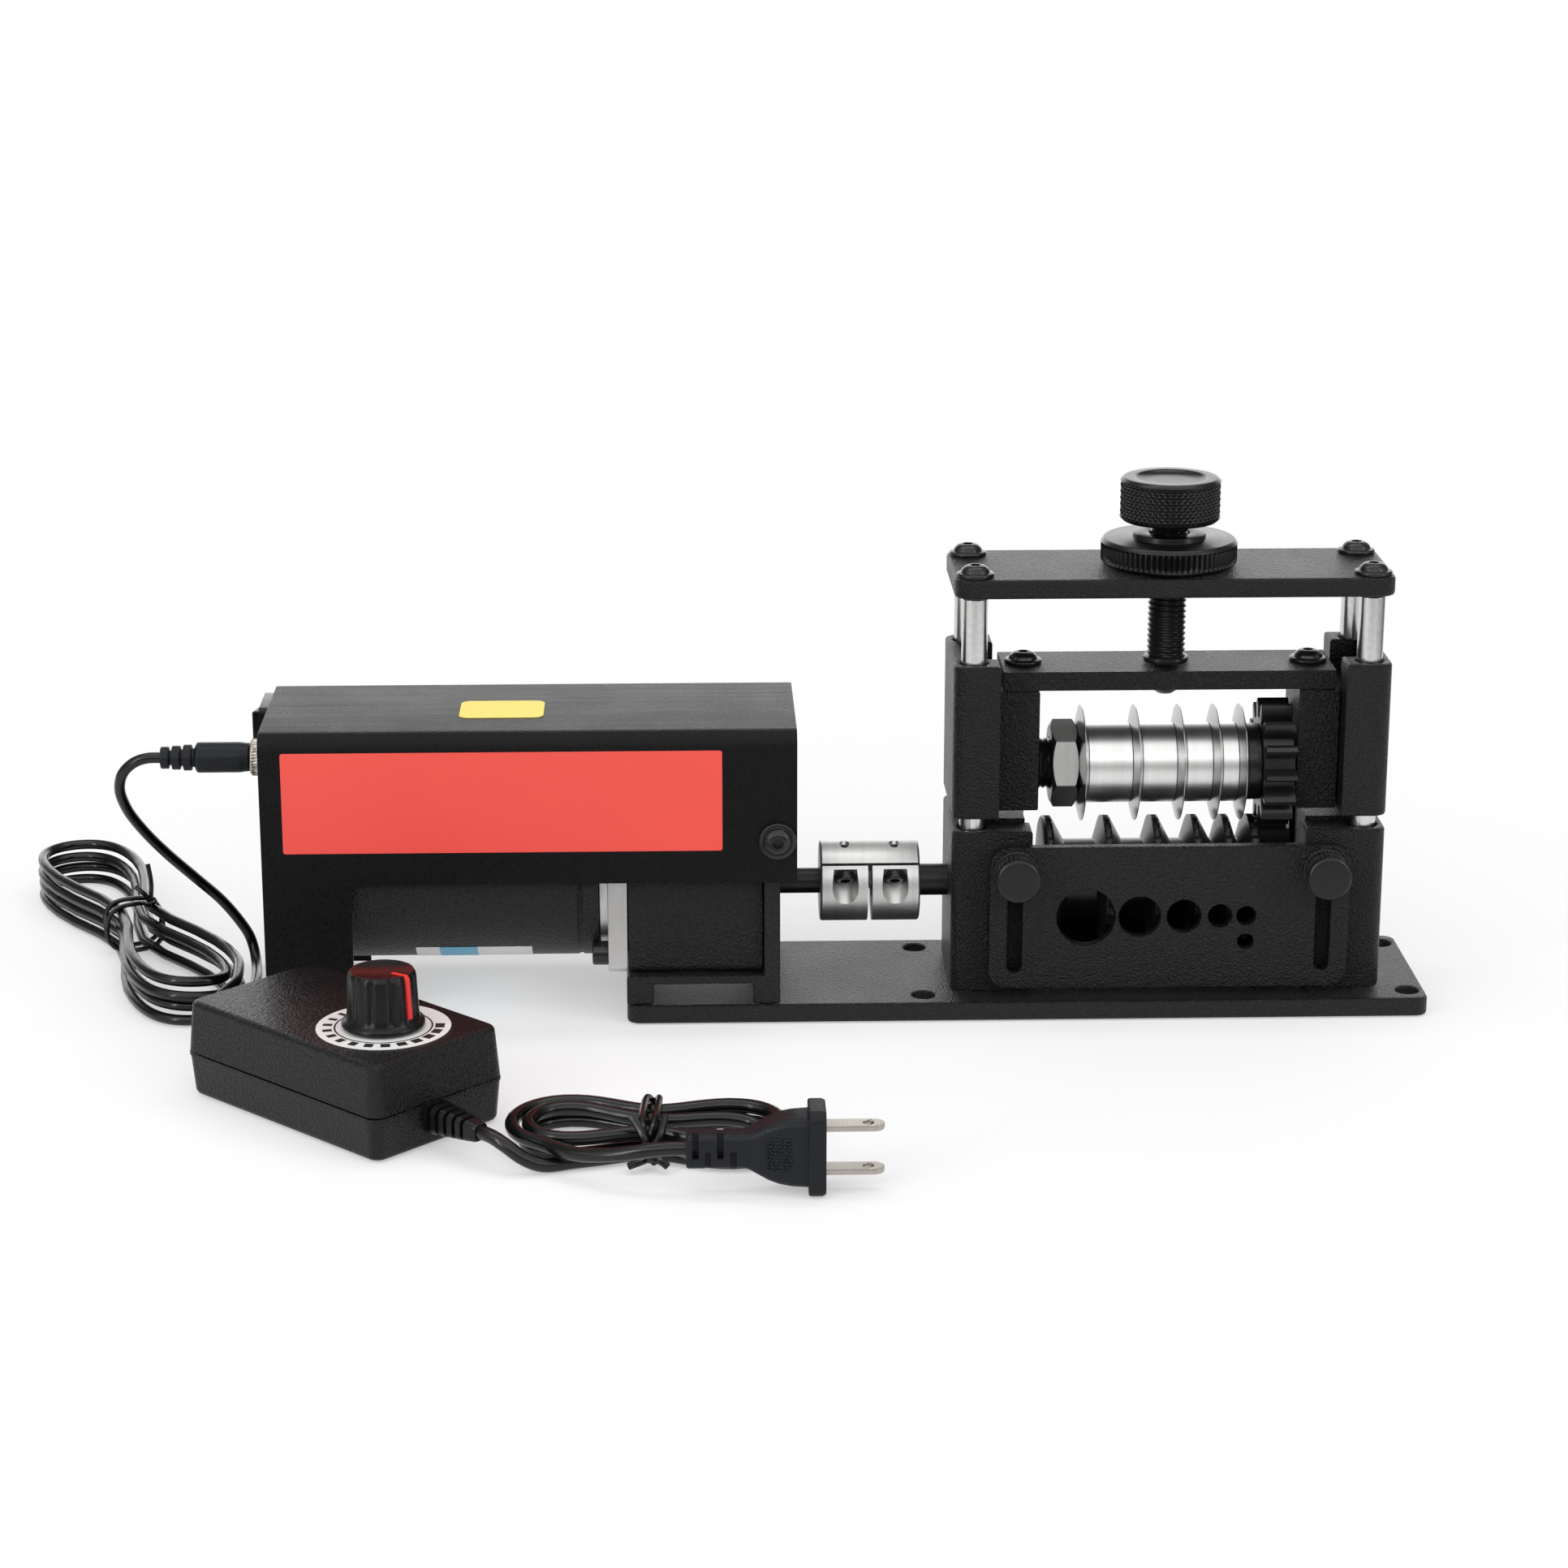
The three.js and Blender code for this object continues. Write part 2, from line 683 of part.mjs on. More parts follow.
// Feed roller: crests stand halfway between the blades, with a groove under each blade
function feedRoller() {
  const crests = [bladeOffsets[0] - firstCrestOffset];
  for (let i = 0; i + 1 < bladeOffsets.length; i += 1) {
    crests.push((bladeOffsets[i] + bladeOffsets[i + 1]) / 2);
  }
  crests.push(lastBladeOffset + lastCrestOffset);
  const outer = rollerDiameter / 2;
  const bore = rollerShaftDiameter / 2 + seatGap;
  const left = crests[0] - crestWidth / 2 - rollerEndShoulder;
  const right = gearLeft - stackGap;
  const outline = [
    [bore, left],
    [outer - rollerEndShoulder, left],
    [outer, left + rollerEndShoulder],
  ];
  for (let i = 0; i + 1 < crests.length; i += 1) {
    const grooveLeft = crests[i] + crestWidth / 2;
    const grooveRight = crests[i + 1] - crestWidth / 2;
    const floor = Math.max(leastGrooveFloor, grooveRight - grooveLeft - 2 * flankRun);
    const middle = bladeOffsets[i];
    outline.push(
      [outer, grooveLeft],
      [outer - grooveDepth, middle - floor / 2],
      [outer - grooveDepth, middle + floor / 2],
      [outer, grooveRight],
    );
  }
  outline.push([outer, right], [bore, right]);
  return turned("x", outline, [headOffset, 0, rollerAxisHeight], wheelSides);
}

// Spur gear with involute teeth: a tooth, or else a gap, points up or down at its mate
function spurGear(bore, axisHeight, firstTooth) {
  const pitchRadius = (gearModule * gearTeeth) / 2;
  const tipRadius = pitchRadius + gearModule;
  const rootRadius = pitchRadius - gearModule * 1.25;
  const pressure = THREE.MathUtils.degToRad(gearPressureAngle);
  const baseRadius = pitchRadius * Math.cos(pressure);
  const involute = (angle) => Math.tan(angle) - angle;
  const halfTooth = (radius) => {
    const onFlank = Math.max(radius, baseRadius);
    const middle = Math.PI / (2 * gearTeeth) + involute(pressure) - gearBacklash / 2 / pitchRadius;
    return middle - involute(Math.acos(Math.min(1, baseRadius / onFlank)));
  };
  const flankRadii = [rootRadius, baseRadius, pitchRadius, (pitchRadius + tipRadius) / 2, tipRadius];
  const points = [];
  for (let tooth = 0; tooth < gearTeeth; tooth += 1) {
    const middle = firstTooth + (tooth * Math.PI * 2) / gearTeeth;
    const flank = (radius, hand) => {
      const angle = middle + hand * halfTooth(radius);
      return [radius * Math.cos(angle), radius * Math.sin(angle)];
    };
    points.push(...flankRadii.map((radius) => flank(radius, -1)));
    points.push(...flankRadii.toReversed().map((radius) => flank(radius, 1)));
  }
  const outline = polygon(points.map(([y, z]) => [y, z + axisHeight]));
  const hole = new THREE.Path();
  hole.absarc(0, axisHeight, bore / 2 + seatGap, 0, Math.PI * 2, true);
  outline.holes.push(hole);
  return extruded("x", outline, [headOffset + gearLeft, headOffset + gearRight], plateSteps);
}

function rollerShaft() {
  const left = couplingOffset + couplingSlit;
  const right = headOffset + sideInner - seatGap * 2;
  return cylinder("x", rollerShaftDiameter / 2, [left, right], [0, 0, rollerAxisHeight]);
}

// Round blade, ground to an edge from both sides
function blade(offset) {
  const outer = bladeDiameter / 2;
  const outline = [
    [bladeShaftDiameter / 2 + seatGap, -bladeThickness / 2],
    [outer - bladeBevel, -bladeThickness / 2],
    [outer, -bladeEdge / 2],
    [outer, bladeEdge / 2],
    [outer - bladeBevel, bladeThickness / 2],
    [bladeShaftDiameter / 2 + seatGap, bladeThickness / 2],
  ];
  return turned("x", outline, [headOffset + offset, 0, bladeAxisHeight], wheelSides);
}

function sleeve(outerDiameter, [from, to]) {
  const inner = bladeShaftDiameter / 2 + seatGap;
  const outline = [
    [inner, from],
    [outerDiameter / 2, from],
    [outerDiameter / 2, to],
    [inner, to],
  ];
  return turned("x", outline, [headOffset, 0, bladeAxisHeight]);
}

function spacer(index) {
  const from = bladeOffsets[index] + bladeThickness / 2 + stackGap;
  const to = bladeOffsets[index + 1] - bladeThickness / 2 - stackGap;
  return sleeve(spacerDiameter, [from, to]);
}

function bladeShaft() {
  const left = -blockInner - journalLength;
  const right = blockInner + journalLength;
  const outline = [
    [0, left],
    [journalDiameter / 2, left],
    [journalDiameter / 2, -blockInner - runningGap],
    [journalDiameter / 2, -blockInner + runningGap],
    [bladeShaftDiameter / 2, -blockInner + runningGap],
    [bladeShaftDiameter / 2, blockInner - runningGap],
    [journalDiameter / 2, blockInner - runningGap],
    [journalDiameter / 2, right],
    [0, right],
  ];
  return turned("x", outline, [headOffset, 0, bladeAxisHeight]);
}

// Hexagon nut that clamps the blades, chamfered at both faces
function clampNut() {
  const right = bladeOffsets[0] - bladeThickness / 2 - stackGap;
  const left = right - nutThickness;
  const corner = nutAcrossFlats / Math.sqrt(3);
  const points = [];
  for (let i = 0; i < 6; i += 1) {
    const angle = ((i + 0.5) * Math.PI) / 3;
    points.push([corner * Math.cos(angle), bladeAxisHeight + corner * Math.sin(angle)]);
  }
  const hexagon = extruded("x", polygon(points), [headOffset + left, headOffset + right]);
  const inner = bladeShaftDiameter / 2 + seatGap;
  const envelope = [
    [inner, left],
    [corner - nutChamfer, left],
    [corner, left + nutChamfer / 2],
    [corner, right - nutChamfer / 2],
    [corner - nutChamfer, right],
    [inner, right],
  ];
  return hexagon.intersect(turned("x", envelope, [headOffset, 0, bladeAxisHeight]));
}

// Adjusting screw: it hangs the carriage from its collar and its domed head under the crossbar
function adjustingScrew() {
  const journal = screwJournalDiameter / 2;
  const head = screwHeadDiameter / 2;
  const headTop = crossbarBottom - seatGap;
  const headBottom = headTop - screwHeadHeight;
  const collarBottom = crossbarTop + seatGap;
  const collarTop = collarBottom + screwCollarHeight;
  const knobBottom = topPlateTop + knobRise;
  const outline = [
    [0, headBottom],
    [head * 0.6, headBottom],
    [head, headBottom + screwHeadHeight / 2],
    [head, headTop],
    [journal, headTop],
    [journal, collarBottom],
    [screwCollarDiameter / 2, collarBottom],
    [screwCollarDiameter / 2, collarTop],
    [screwDiameter / 2, collarTop],
    [screwDiameter / 2, knobBottom - screwNeckHeight],
    [screwNeckDiameter / 2, knobBottom - screwNeckHeight],
    [screwNeckDiameter / 2, knobBottom - seatGap],
    [knobStubDiameter / 2, knobBottom - seatGap],
    [knobStubDiameter / 2, knobBottom + knobStubDepth - seatGap],
    [0, knobBottom + knobStubDepth - seatGap],
  ];
  return turned("z", outline, [headOffset, 0, 0]);
}

function adjustingKnob() {
  const radius = knobDiameter / 2;
  const bottom = topPlateTop + knobRise;
  const top = bottom + knobHeight;
  const stub = knobStubDiameter / 2 + seatGap;
  const outline = [
    [0, bottom + knobStubDepth],
    [stub, bottom + knobStubDepth],
    [stub, bottom],
    [radius - knobChamfer, bottom],
    [radius, bottom + knobChamfer],
    [radius, top - knobChamfer],
    [radius - knobChamfer, top],
    [knobDishDiameter / 2, top],
    [knobDishDiameter * 0.4, top - knobDishDepth],
    [0, top - knobDishDepth],
  ];
  return turned("z", outline, [headOffset, 0, 0], wheelSides);
}

function lockWheel() {
  const bottom = topPlateTop + seatGap;
  const top = bottom + lockWheelHeight;
  const bore = screwDiameter / 2 + runningGap;
  const radius = lockWheelDiameter / 2;
  const outline = [
    [bore, bottom],
    [radius - lockWheelChamfer, bottom],
    [radius, bottom + lockWheelChamfer],
    [radius, top - lockWheelChamfer],
    [radius - lockWheelChamfer, top],
    [lockHubDiameter / 2, top],
    [lockHubDiameter / 2, top + lockHubHeight],
    [bore, top + lockHubHeight],
  ];
  return turned("z", outline, [headOffset, 0, 0], wheelSides);
}

// Guide plate: one hole for each blade, a spare small one, and two slots for its thumb screws
function guidePlate() {
  const bottom = baseThickness + guideRise;
  const back = headFront - seatGap;
  const outline = roundedRectangle(
    [headOffset - guideLength / 2, headOffset + guideLength / 2],
    [bottom, bottom + guideHeight],
    guideCorner,
  );
  const round = (x, z, diameter) => {
    const hole = new THREE.Path();
    hole.absarc(x, z, diameter / 2, 0, Math.PI * 2, true);
    outline.holes.push(hole);
  };
  guideHoleDiameters.forEach((diameter, i) => {
    round(headOffset + bladeOffsets[i], bottom + guideHoleHeight, diameter);
  });
  round(headOffset + lastBladeOffset, bottom + guideHoleHeight - extraHoleDrop, extraHoleDiameter);
  for (const side of [-1, 1]) {
    const x = headOffset + (side * slotPitch) / 2;
    const half = slotWidth / 2;
    const low = bottom + slotFoot + half;
    const high = bottom + slotFoot + slotLength - half;
    const slot = new THREE.Path();
    slot.moveTo(x - half, low);
    slot.absarc(x, high, half, Math.PI, 0, true);
    slot.absarc(x, low, half, 0, -Math.PI, true);
    outline.holes.push(slot);
  }
  return extruded("y", outline, [back - guideThickness, back], plateSteps);
}

function thumbScrew(side) {
  const headBack = headFront - seatGap - guideThickness - seatGap;
  const front = headBack - thumbLength;
  const radius = thumbDiameter / 2;
  const stem = thumbStemDiameter / 2;
  const outline = [
    [0, front],
    [radius - thumbChamfer, front],
    [radius, front + thumbChamfer],
    [radius, headBack - thumbChamfer],
    [radius - thumbChamfer, headBack],
    [stem, headBack],
    [stem, headFront + thumbStemDepth],
    [0, headFront + thumbStemDepth],
  ];
  return turned("y", outline, [headOffset + (side * slotPitch) / 2, 0, thumbHeight], smallSides * 1.5);
}

// Motor bracket: a foot with a window milled through it, and the plate that carries the gearbox
function motorBracket() {
  const left = -baseLength / 2;
  const bottom = baseThickness + seatGap;
  const footTop = bottom + bracketFootHeight;
  const half = bracketWidth / 2;
  const footOutline = polygon([
    [left, bottom],
    [bracketRight, bottom],
    [bracketRight, footTop],
    [left + bracketCorner, footTop],
    [left, footTop - bracketCorner],
  ]);
  const foot = extruded("y", footOutline, [-half, half]);
  const plateOutline = roundedRectangle([-half, half], [footTop - coverBend, bracketHeight], coverBend);
  const plate = extruded("x", plateOutline, [bracketPlateLeft, bracketRight]);
  const plateFoot = block([bracketPlateLeft, bracketRight], [-half, half], [bottom, footTop + coverBend]);
  const whole = join(foot, plate, plateFoot);
  const windowLeft = left + bracketWindowInset;
  const windowShape = roundedRectangle(
    [windowLeft, windowLeft + bracketWindowLength],
    [bottom - bracketCorner * 2, bottom + bracketWindowHeight],
    bracketCorner,
  );
  const windowCut = extruded("y", windowShape, [-half - cutOverrun, half + cutOverrun]);
  const bossHole = cylinder(
    "x",
    gearboxBossDiameter / 2 + seatGap,
    [bracketPlateLeft - cutOverrun, bracketRight + cutOverrun],
    [0, 0, rollerAxisHeight],
  );
  return cut(whole, windowCut, bossHole);
}

function squareSection(size, corner) {
  return roundedRectangle([-size / 2, size / 2], [gearboxMiddle - size / 2, gearboxMiddle + size / 2], corner);
}

function gearbox() {
  const body = extruded("x", squareSection(gearboxSize, gearboxCorner), [gearboxLeft, gearboxRight]);
  const boss = cylinder(
    "x",
    gearboxBossDiameter / 2,
    [gearboxRight - cutOverrun, bracketRight - seatGap],
    [0, 0, rollerAxisHeight],
  );
  const bore = cylinder(
    "x",
    outputShaftDiameter / 2 + runningGap,
    [gearboxRight - outputShaftSeat - runningGap, bracketRight + cutOverrun],
    [0, 0, rollerAxisHeight],
  );
  return cut(join(body, boss), bore);
}

// Aluminium plate between gearbox and motor, with a round boss on the motor's side
function gearboxEndPlate() {
  const plate = extruded("x", squareSection(gearboxSize, gearboxCorner), [endPlateLeft, endPlateRight]);
  const boss = cylinder(
    "x",
    endPlateBossDiameter / 2,
    [endPlateLeft - endPlateBossThickness, endPlateLeft + cutOverrun],
    [0, 0, gearboxMiddle],
  );
  return join(plate, boss);
}

function motor() {
  const radius = motorDiameter / 2;
  const outline = [
    [0, motorLeft - motorCapLength],
    [motorCapDiameter / 2, motorLeft - motorCapLength],
    [motorCapDiameter / 2, motorLeft],
    [radius - motorEdge, motorLeft],
    [radius, motorLeft + motorEdge],
    [radius, motorRight],
    [0, motorRight],
  ];
  return turned("x", outline, [0, 0, gearboxMiddle]);
}

function outputShaft() {
  const left = gearboxRight - outputShaftSeat;
  const right = couplingOffset - couplingSlit;
  return cylinder("x", outputShaftDiameter / 2, [left, right], [0, 0, rollerAxisHeight], smallSides * 1.5);
}

// Clamp coupling: slit along its front and across its middle, with a pocket for each clamp screw
function coupling() {
  const radius = couplingDiameter / 2;
  const left = couplingOffset - couplingLength / 2;
  const right = couplingOffset + couplingLength / 2;
  const axis = [0, 0, rollerAxisHeight];
  const body = cylinder("x", radius, [left, right], axis, wheelSides);
  const motorBore = outputShaftDiameter / 2 + seatGap;
  const rollerBore = rollerShaftDiameter / 2 + seatGap;
  const outside = radius + cutOverrun;
  const clampSlitTop = rollerAxisHeight + motorBore;
  const pockets = [-1, 1].map((side) =>
    cylinder(
      "z",
      couplingPocketDiameter / 2,
      [rollerAxisHeight - outside, rollerAxisHeight],
      [couplingOffset + (side * couplingPocketPitch) / 2, -couplingPocketDepth, 0],
      smallSides * 1.5,
    ),
  );
  return cut(
    body,
    cylinder("x", motorBore, [left - cutOverrun, couplingOffset], axis),
    cylinder("x", rollerBore, [couplingOffset, right + cutOverrun], axis),
    block([left - cutOverrun, right + cutOverrun], [-outside, 0], [clampSlitTop - couplingSlit, clampSlitTop]),
    block(
      [couplingOffset - couplingSlit / 2, couplingOffset + couplingSlit / 2],
      [-outside, motorBore],
      [rollerAxisHeight - outside, clampSlitTop],
    ),
    ...pockets,
  );
}

// Motor cover: one bent sheet with a closed end, cut away below except for the leg at that end
function motorCover() {
  const section = (inset, bottom) => {
    const half = coverWidth / 2 - inset;
    const top = coverHeight - inset;
    const bend = coverBend - inset;
    const shape = new THREE.Shape();
    shape.moveTo(-half, bottom);
    shape.lineTo(half, bottom);
    shape.lineTo(half, top - bend);
    shape.absarc(half - bend, top - bend, bend, 0, Math.PI / 2);
    shape.lineTo(-half + bend, top);
    shape.absarc(-half + bend, top - bend, bend, Math.PI / 2, Math.PI);
    return shape;
  };
  const outside = extruded("x", section(0, coverLegFloor), [coverEnd, coverRight]);
  const inside = extruded("x", section(coverSheet, coverLegFloor - cutOverrun), [
    coverEnd + coverSheet,
    coverRight + cutOverrun,
  ]);
  const half = coverWidth / 2 + cutOverrun;
  const away = block(
    [coverEnd + coverLegWidth, coverRight + cutOverrun],
    [-half, half],
    [coverLegFloor - cutOverrun, coverApron],
  );
  const throughEnd = [coverEnd - cutOverrun, coverEnd + coverSheet + cutOverrun];
  const jackHole = cylinder(
    "x",
    jackBarrelDiameter / 2 + seatGap,
    throughEnd,
    [0, jackOffset, jackHeight],
    smallSides,
  );
  const bodyLength = switchBezelLength / 2 - switchBezelRim / 2 + seatGap;
  const bodyHeight = switchBezelHeight / 2 - switchBezelRim / 2 + seatGap;
  const switchHole = block(
    throughEnd,
    [switchOffset - bodyLength, switchOffset + bodyLength],
    [switchHeight - bodyHeight, switchHeight + bodyHeight],
  );
  return cut(outside, inside, away, jackHole, switchHole);
}

// Power jack: a ring nut outside, a threaded barrel through the cover and the socket body inside
function powerJack() {
  const outer = coverEnd - seatGap;
  const inner = coverEnd + coverSheet + seatGap;
  const barrel = jackBarrelDiameter / 2;
  const bore = jackBoreDiameter / 2;
  const outline = [
    [bore, outer - jackNutThickness],
    [jackNutDiameter / 2, outer - jackNutThickness],
    [jackNutDiameter / 2, outer],
    [barrel, outer],
    [barrel, inner],
    [jackNutDiameter / 2, inner],
    [jackNutDiameter / 2, inner + jackBodyLength],
    [0, inner + jackBodyLength],
    [0, outer - jackNutThickness + jackBoreDepth],
    [bore, outer - jackNutThickness + jackBoreDepth],
  ];
  return turned("x", outline, [0, jackOffset, jackHeight], smallSides * 1.5);
}

// Rocker switch: the frame with its well, and the rocker that tips about an upright pin
function switchFrame() {
  const front = coverEnd - seatGap;
  const rim = roundedRectangle(
    [switchOffset - switchBezelLength / 2, switchOffset + switchBezelLength / 2],
    [switchHeight - switchBezelHeight / 2, switchHeight + switchBezelHeight / 2],
    switchBezelRim,
  );
  const bezel = extruded("x", rim, [front - switchBezelThickness, front]);
  const bodyLength = (switchBezelLength - switchBezelRim) / 2;
  const bodyHeight = (switchBezelHeight - switchBezelRim) / 2;
  const body = block(
    [front - cutOverrun, front + switchBodyDepth],
    [switchOffset - bodyLength, switchOffset + bodyLength],
    [switchHeight - bodyHeight, switchHeight + bodyHeight],
  );
  const wellLength = switchBezelLength / 2 - switchBezelRim;
  const wellHeight = switchBezelHeight / 2 - switchBezelRim;
  const well = block(
    [front - switchBezelThickness - cutOverrun, front - switchBezelThickness + switchWellDepth],
    [switchOffset - wellLength, switchOffset + wellLength],
    [switchHeight - wellHeight, switchHeight + wellHeight],
  );
  return cut(join(bezel, body), well);
}

function switchRocker() {
  const pivot = coverEnd - seatGap;
  const halfLength = rockerRadius;
  const halfHeight = switchBezelHeight / 2 - switchBezelRim - seatGap;
  const proud = switchBezelThickness + rockerHeight;
  const valley = switchBezelThickness + rockerHeight / 2;
  const points = [
    [-proud, -halfLength],
    [-valley, 0],
    [-proud, halfLength],
    [rockerDepth / 2, halfLength * rockerTaper],
    [rockerDepth, 0],
    [rockerDepth / 2, -halfLength * rockerTaper],
  ];
  const tilt = THREE.MathUtils.degToRad(-rockerTilt);
  const turnedPoints = points.map(([x, y]) => [
    pivot + x * Math.cos(tilt) - y * Math.sin(tilt),
    switchOffset + x * Math.sin(tilt) + y * Math.cos(tilt),
  ]);
  return extruded("z", polygon(turnedPoints), [switchHeight - halfHeight, switchHeight + halfHeight]);
}

// Adapter shells: both taper away from the seam and have rounded edges
function adapterBase() {
  const size = (inset) => [adapterLength - 2 * inset, adapterWidth - 2 * inset];
  const rings = [
    rectangleRing(...size(adapterDraft + adapterEdge), adapterCorner - adapterEdge, 0),
    rectangleRing(...size(adapterDraft), adapterCorner, adapterEdge),
    rectangleRing(...size(0), adapterCorner, adapterSeam - seatGap),
  ];
  return lofted(rings);
}

function adapterLid() {
  const size = (inset) => [adapterLength - 2 * inset, adapterWidth - 2 * inset];
  const nearTop = adapterDraft + adapterEdge * 0.3;
  const shell = lofted([
    rectangleRing(...size(0), adapterCorner, adapterSeam),
    rectangleRing(...size(adapterDraft), adapterCorner, adapterHeight - adapterEdge),
    rectangleRing(...size(nearTop), adapterCorner - adapterEdge * 0.3, adapterHeight - adapterEdge * 0.3),
    rectangleRing(...size(adapterDraft + adapterEdge), adapterCorner - adapterEdge, adapterHeight),
  ]);
  const bush = cylinder(
    "z",
    bushDiameter / 2,
    [adapterHeight - cutOverrun, adapterHeight + bushHeight],
    [knobPlace, 0, 0],
    smallSides,
  );
  return join(shell, bush);
}

// Speed knob: a flared foot and a fluted, slightly tapered grip, hollow over the control's bush
function speedKnob() {
  const bottom = adapterHeight + dialGap;
  const pointsPerFlute = 4;
  const ring = (radius, depth, height) => {
    const points = [];
    for (let i = 0; i < speedFlutes * pointsPerFlute; i += 1) {
      const angle = (i * Math.PI * 2) / (speedFlutes * pointsPerFlute);
      const hollow = i % pointsPerFlute === 0 ? depth : 0;
      const reach = radius - hollow;
      points.push(new THREE.Vector3(knobPlace + reach * Math.cos(angle), reach * Math.sin(angle), height));
    }
    return points;
  };
  const foot = speedFlangeDiameter / 2;
  const grip = speedKnobDiameter / 2;
  const body = lofted([
    ring(foot, 0, bottom),
    ring(foot, 0, bottom + speedFlangeHeight),
    ring(grip + speedKnobTaper, 0, bottom + speedFlangeHeight * 2),
    ring(grip + speedKnobTaper, speedFluteDepth, bottom + speedFlangeHeight * 2),
    ring(grip, speedFluteDepth, bottom + speedKnobHeight - speedFluteDepth),
    ring(grip - speedFluteDepth, speedFluteDepth, bottom + speedKnobHeight),
  ]);
  const hollow = cylinder(
    "z",
    bushDiameter / 2 + runningGap,
    [bottom - cutOverrun, adapterHeight + bushHeight + runningGap],
    [knobPlace, 0, 0],
    smallSides,
  );
  return cut(body, hollow);
}

// Strain relief: it tapers from a collar on the case, with ribs cut round it
function strainRelief() {
  const root = reliefRootDiameter / 2;
  const tip = reliefTipDiameter / 2;
  const outline = [
    [0, seatGap],
    [root, seatGap],
    [root, reliefCollar],
  ];
  const pitch = (reliefLength - reliefCollar) / (reliefRibs + 0.5);
  for (let rib = 0; rib < reliefRibs; rib += 1) {
    const start = reliefCollar + rib * pitch;
    const radius = root + ((tip - root) * (rib + 1)) / reliefRibs;
    outline.push(
      [radius - reliefRibDepth, start],
      [radius - reliefRibDepth, start + pitch / 2],
      [radius, start + pitch / 2],
      [radius, start + pitch],
    );
  }
  outline.push([tip - reliefRibDepth, reliefLength - pitch / 2], [tip - reliefRibDepth, reliefLength], [0, reliefLength]);
  return turned("x", outline, [adapterLength / 2, 0, reliefHeight], smallSides * 0.75);
}

// Plug of the machine's cord: pin, body and a slimmer relief
function machinePlug() {
  const face = coverEnd - seatGap - jackNutThickness - seatGap;
  const bodyEnd = face - machinePlugLength;
  const reliefEnd = bodyEnd - machinePlugReliefLength;
  const pin = machinePlugPinDiameter / 2;
  const outline = [
    [0, reliefEnd],
    [machinePlugReliefDiameter / 2 - coverSheet, reliefEnd],
    [machinePlugReliefDiameter / 2, bodyEnd],
    [machinePlugDiameter / 2, bodyEnd],
    [machinePlugDiameter / 2, face],
    [pin, face],
    [pin, face + machinePlugPinLength],
    [0, face + machinePlugPinLength],
  ];
  return turned("x", outline, [0, jackOffset, jackHeight], smallSides * 1.5);
}

// Mains plug, on its narrow edge: relief block, flared body, flange and two flat prongs
function mainsPlug() {
  const [cordEnd, y] = mainsPlugPlace;
  const bodyStart = cordEnd + mainsPlugReliefLength;
  const flangeStart = bodyStart + mainsPlugBodyLength;
  const face = flangeStart + mainsPlugFlangeThickness;
  const section = (x, width, height, corner) =>
    rectangleRing(width, height, corner, 0).map(
      (point) => new THREE.Vector3(x, y + point.x, mainsPlugHeight + point.y),
    );
  const corner = mainsPlugReliefWidth / 4;
  const body = lofted([
    section(cordEnd, mainsPlugReliefWidth, mainsPlugReliefHeight, corner),
    section(bodyStart, mainsPlugReliefWidth, mainsPlugReliefHeight, corner),
    section(bodyStart + mainsPlugBodyLength * 0.5, mainsPlugBodyWidth * 0.9, mainsPlugBodyHeight * 0.86, corner),
    section(flangeStart + prongRoot, mainsPlugBodyWidth, mainsPlugBodyHeight, corner),
  ]);
  const flange = lofted([
    section(flangeStart, mainsPlugFlangeWidth, mainsPlugFlangeHeight, corner),
    section(face, mainsPlugFlangeWidth, mainsPlugFlangeHeight, corner),
  ]);
  const prongs = [-1, 1].map((side) => {
    const z = mainsPlugHeight + (side * prongPitch) / 2;
    const half = prongWidth / 2;
    const tip = face + prongLength;
    const outline = new THREE.Shape();
    outline.moveTo(face - prongRoot, y - half);
    outline.lineTo(tip - half, y - half);
    outline.absarc(tip - half, y, half, -Math.PI / 2, Math.PI / 2);
    outline.lineTo(face - prongRoot, y + half);
    const hole = new THREE.Path();
    hole.absarc(tip - prongHoleInset, y, prongHoleDiameter / 2, 0, Math.PI * 2, true);
    outline.holes.push(hole);
    return extruded("z", outline, [z - prongThickness / 2, z + prongThickness / 2]);
  });
  return join(body, flange, ...prongs);
}

// Cords
function cordSection(diameter, sides) {
  const corners = [];
  for (let i = 0; i < sides; i += 1) {
    const angle = ((i + 0.5) * Math.PI * 2) / sides;
    corners.push([(diameter / 2) * Math.cos(angle), (diameter / 2) * Math.sin(angle)]);
  }
  return polygon(corners);
}

function cordAlong(points, diameter, sides, steps) {
  const path = new THREE.CatmullRomCurve3(points);
  const count = steps ?? Math.ceil(path.getLength() / (diameter * routeStep));
  const geometry = new THREE.ExtrudeGeometry(cordSection(diameter, sides), {
    steps: count,
    extrudePath: path,
    bevelEnabled: false,
  });
  return solidOf(geometry);
}

// The inner outline of a hank: a long loop with round ends, drawn in at the waist
function hankOutline(hank, angle) {
  const part = Math.tanh(hank.fullness * Math.cos(angle)) / Math.tanh(hank.fullness);
  const along = (hank.halfLength - hank.halfWidth) * part + hank.halfWidth * Math.cos(angle);
  const waist = Math.exp(-((along / hank.waist) ** 2));
  const across = hank.halfWidth * (1 - hank.drawShare * waist) * Math.sin(angle);
  return new THREE.Vector2(along, across);
}

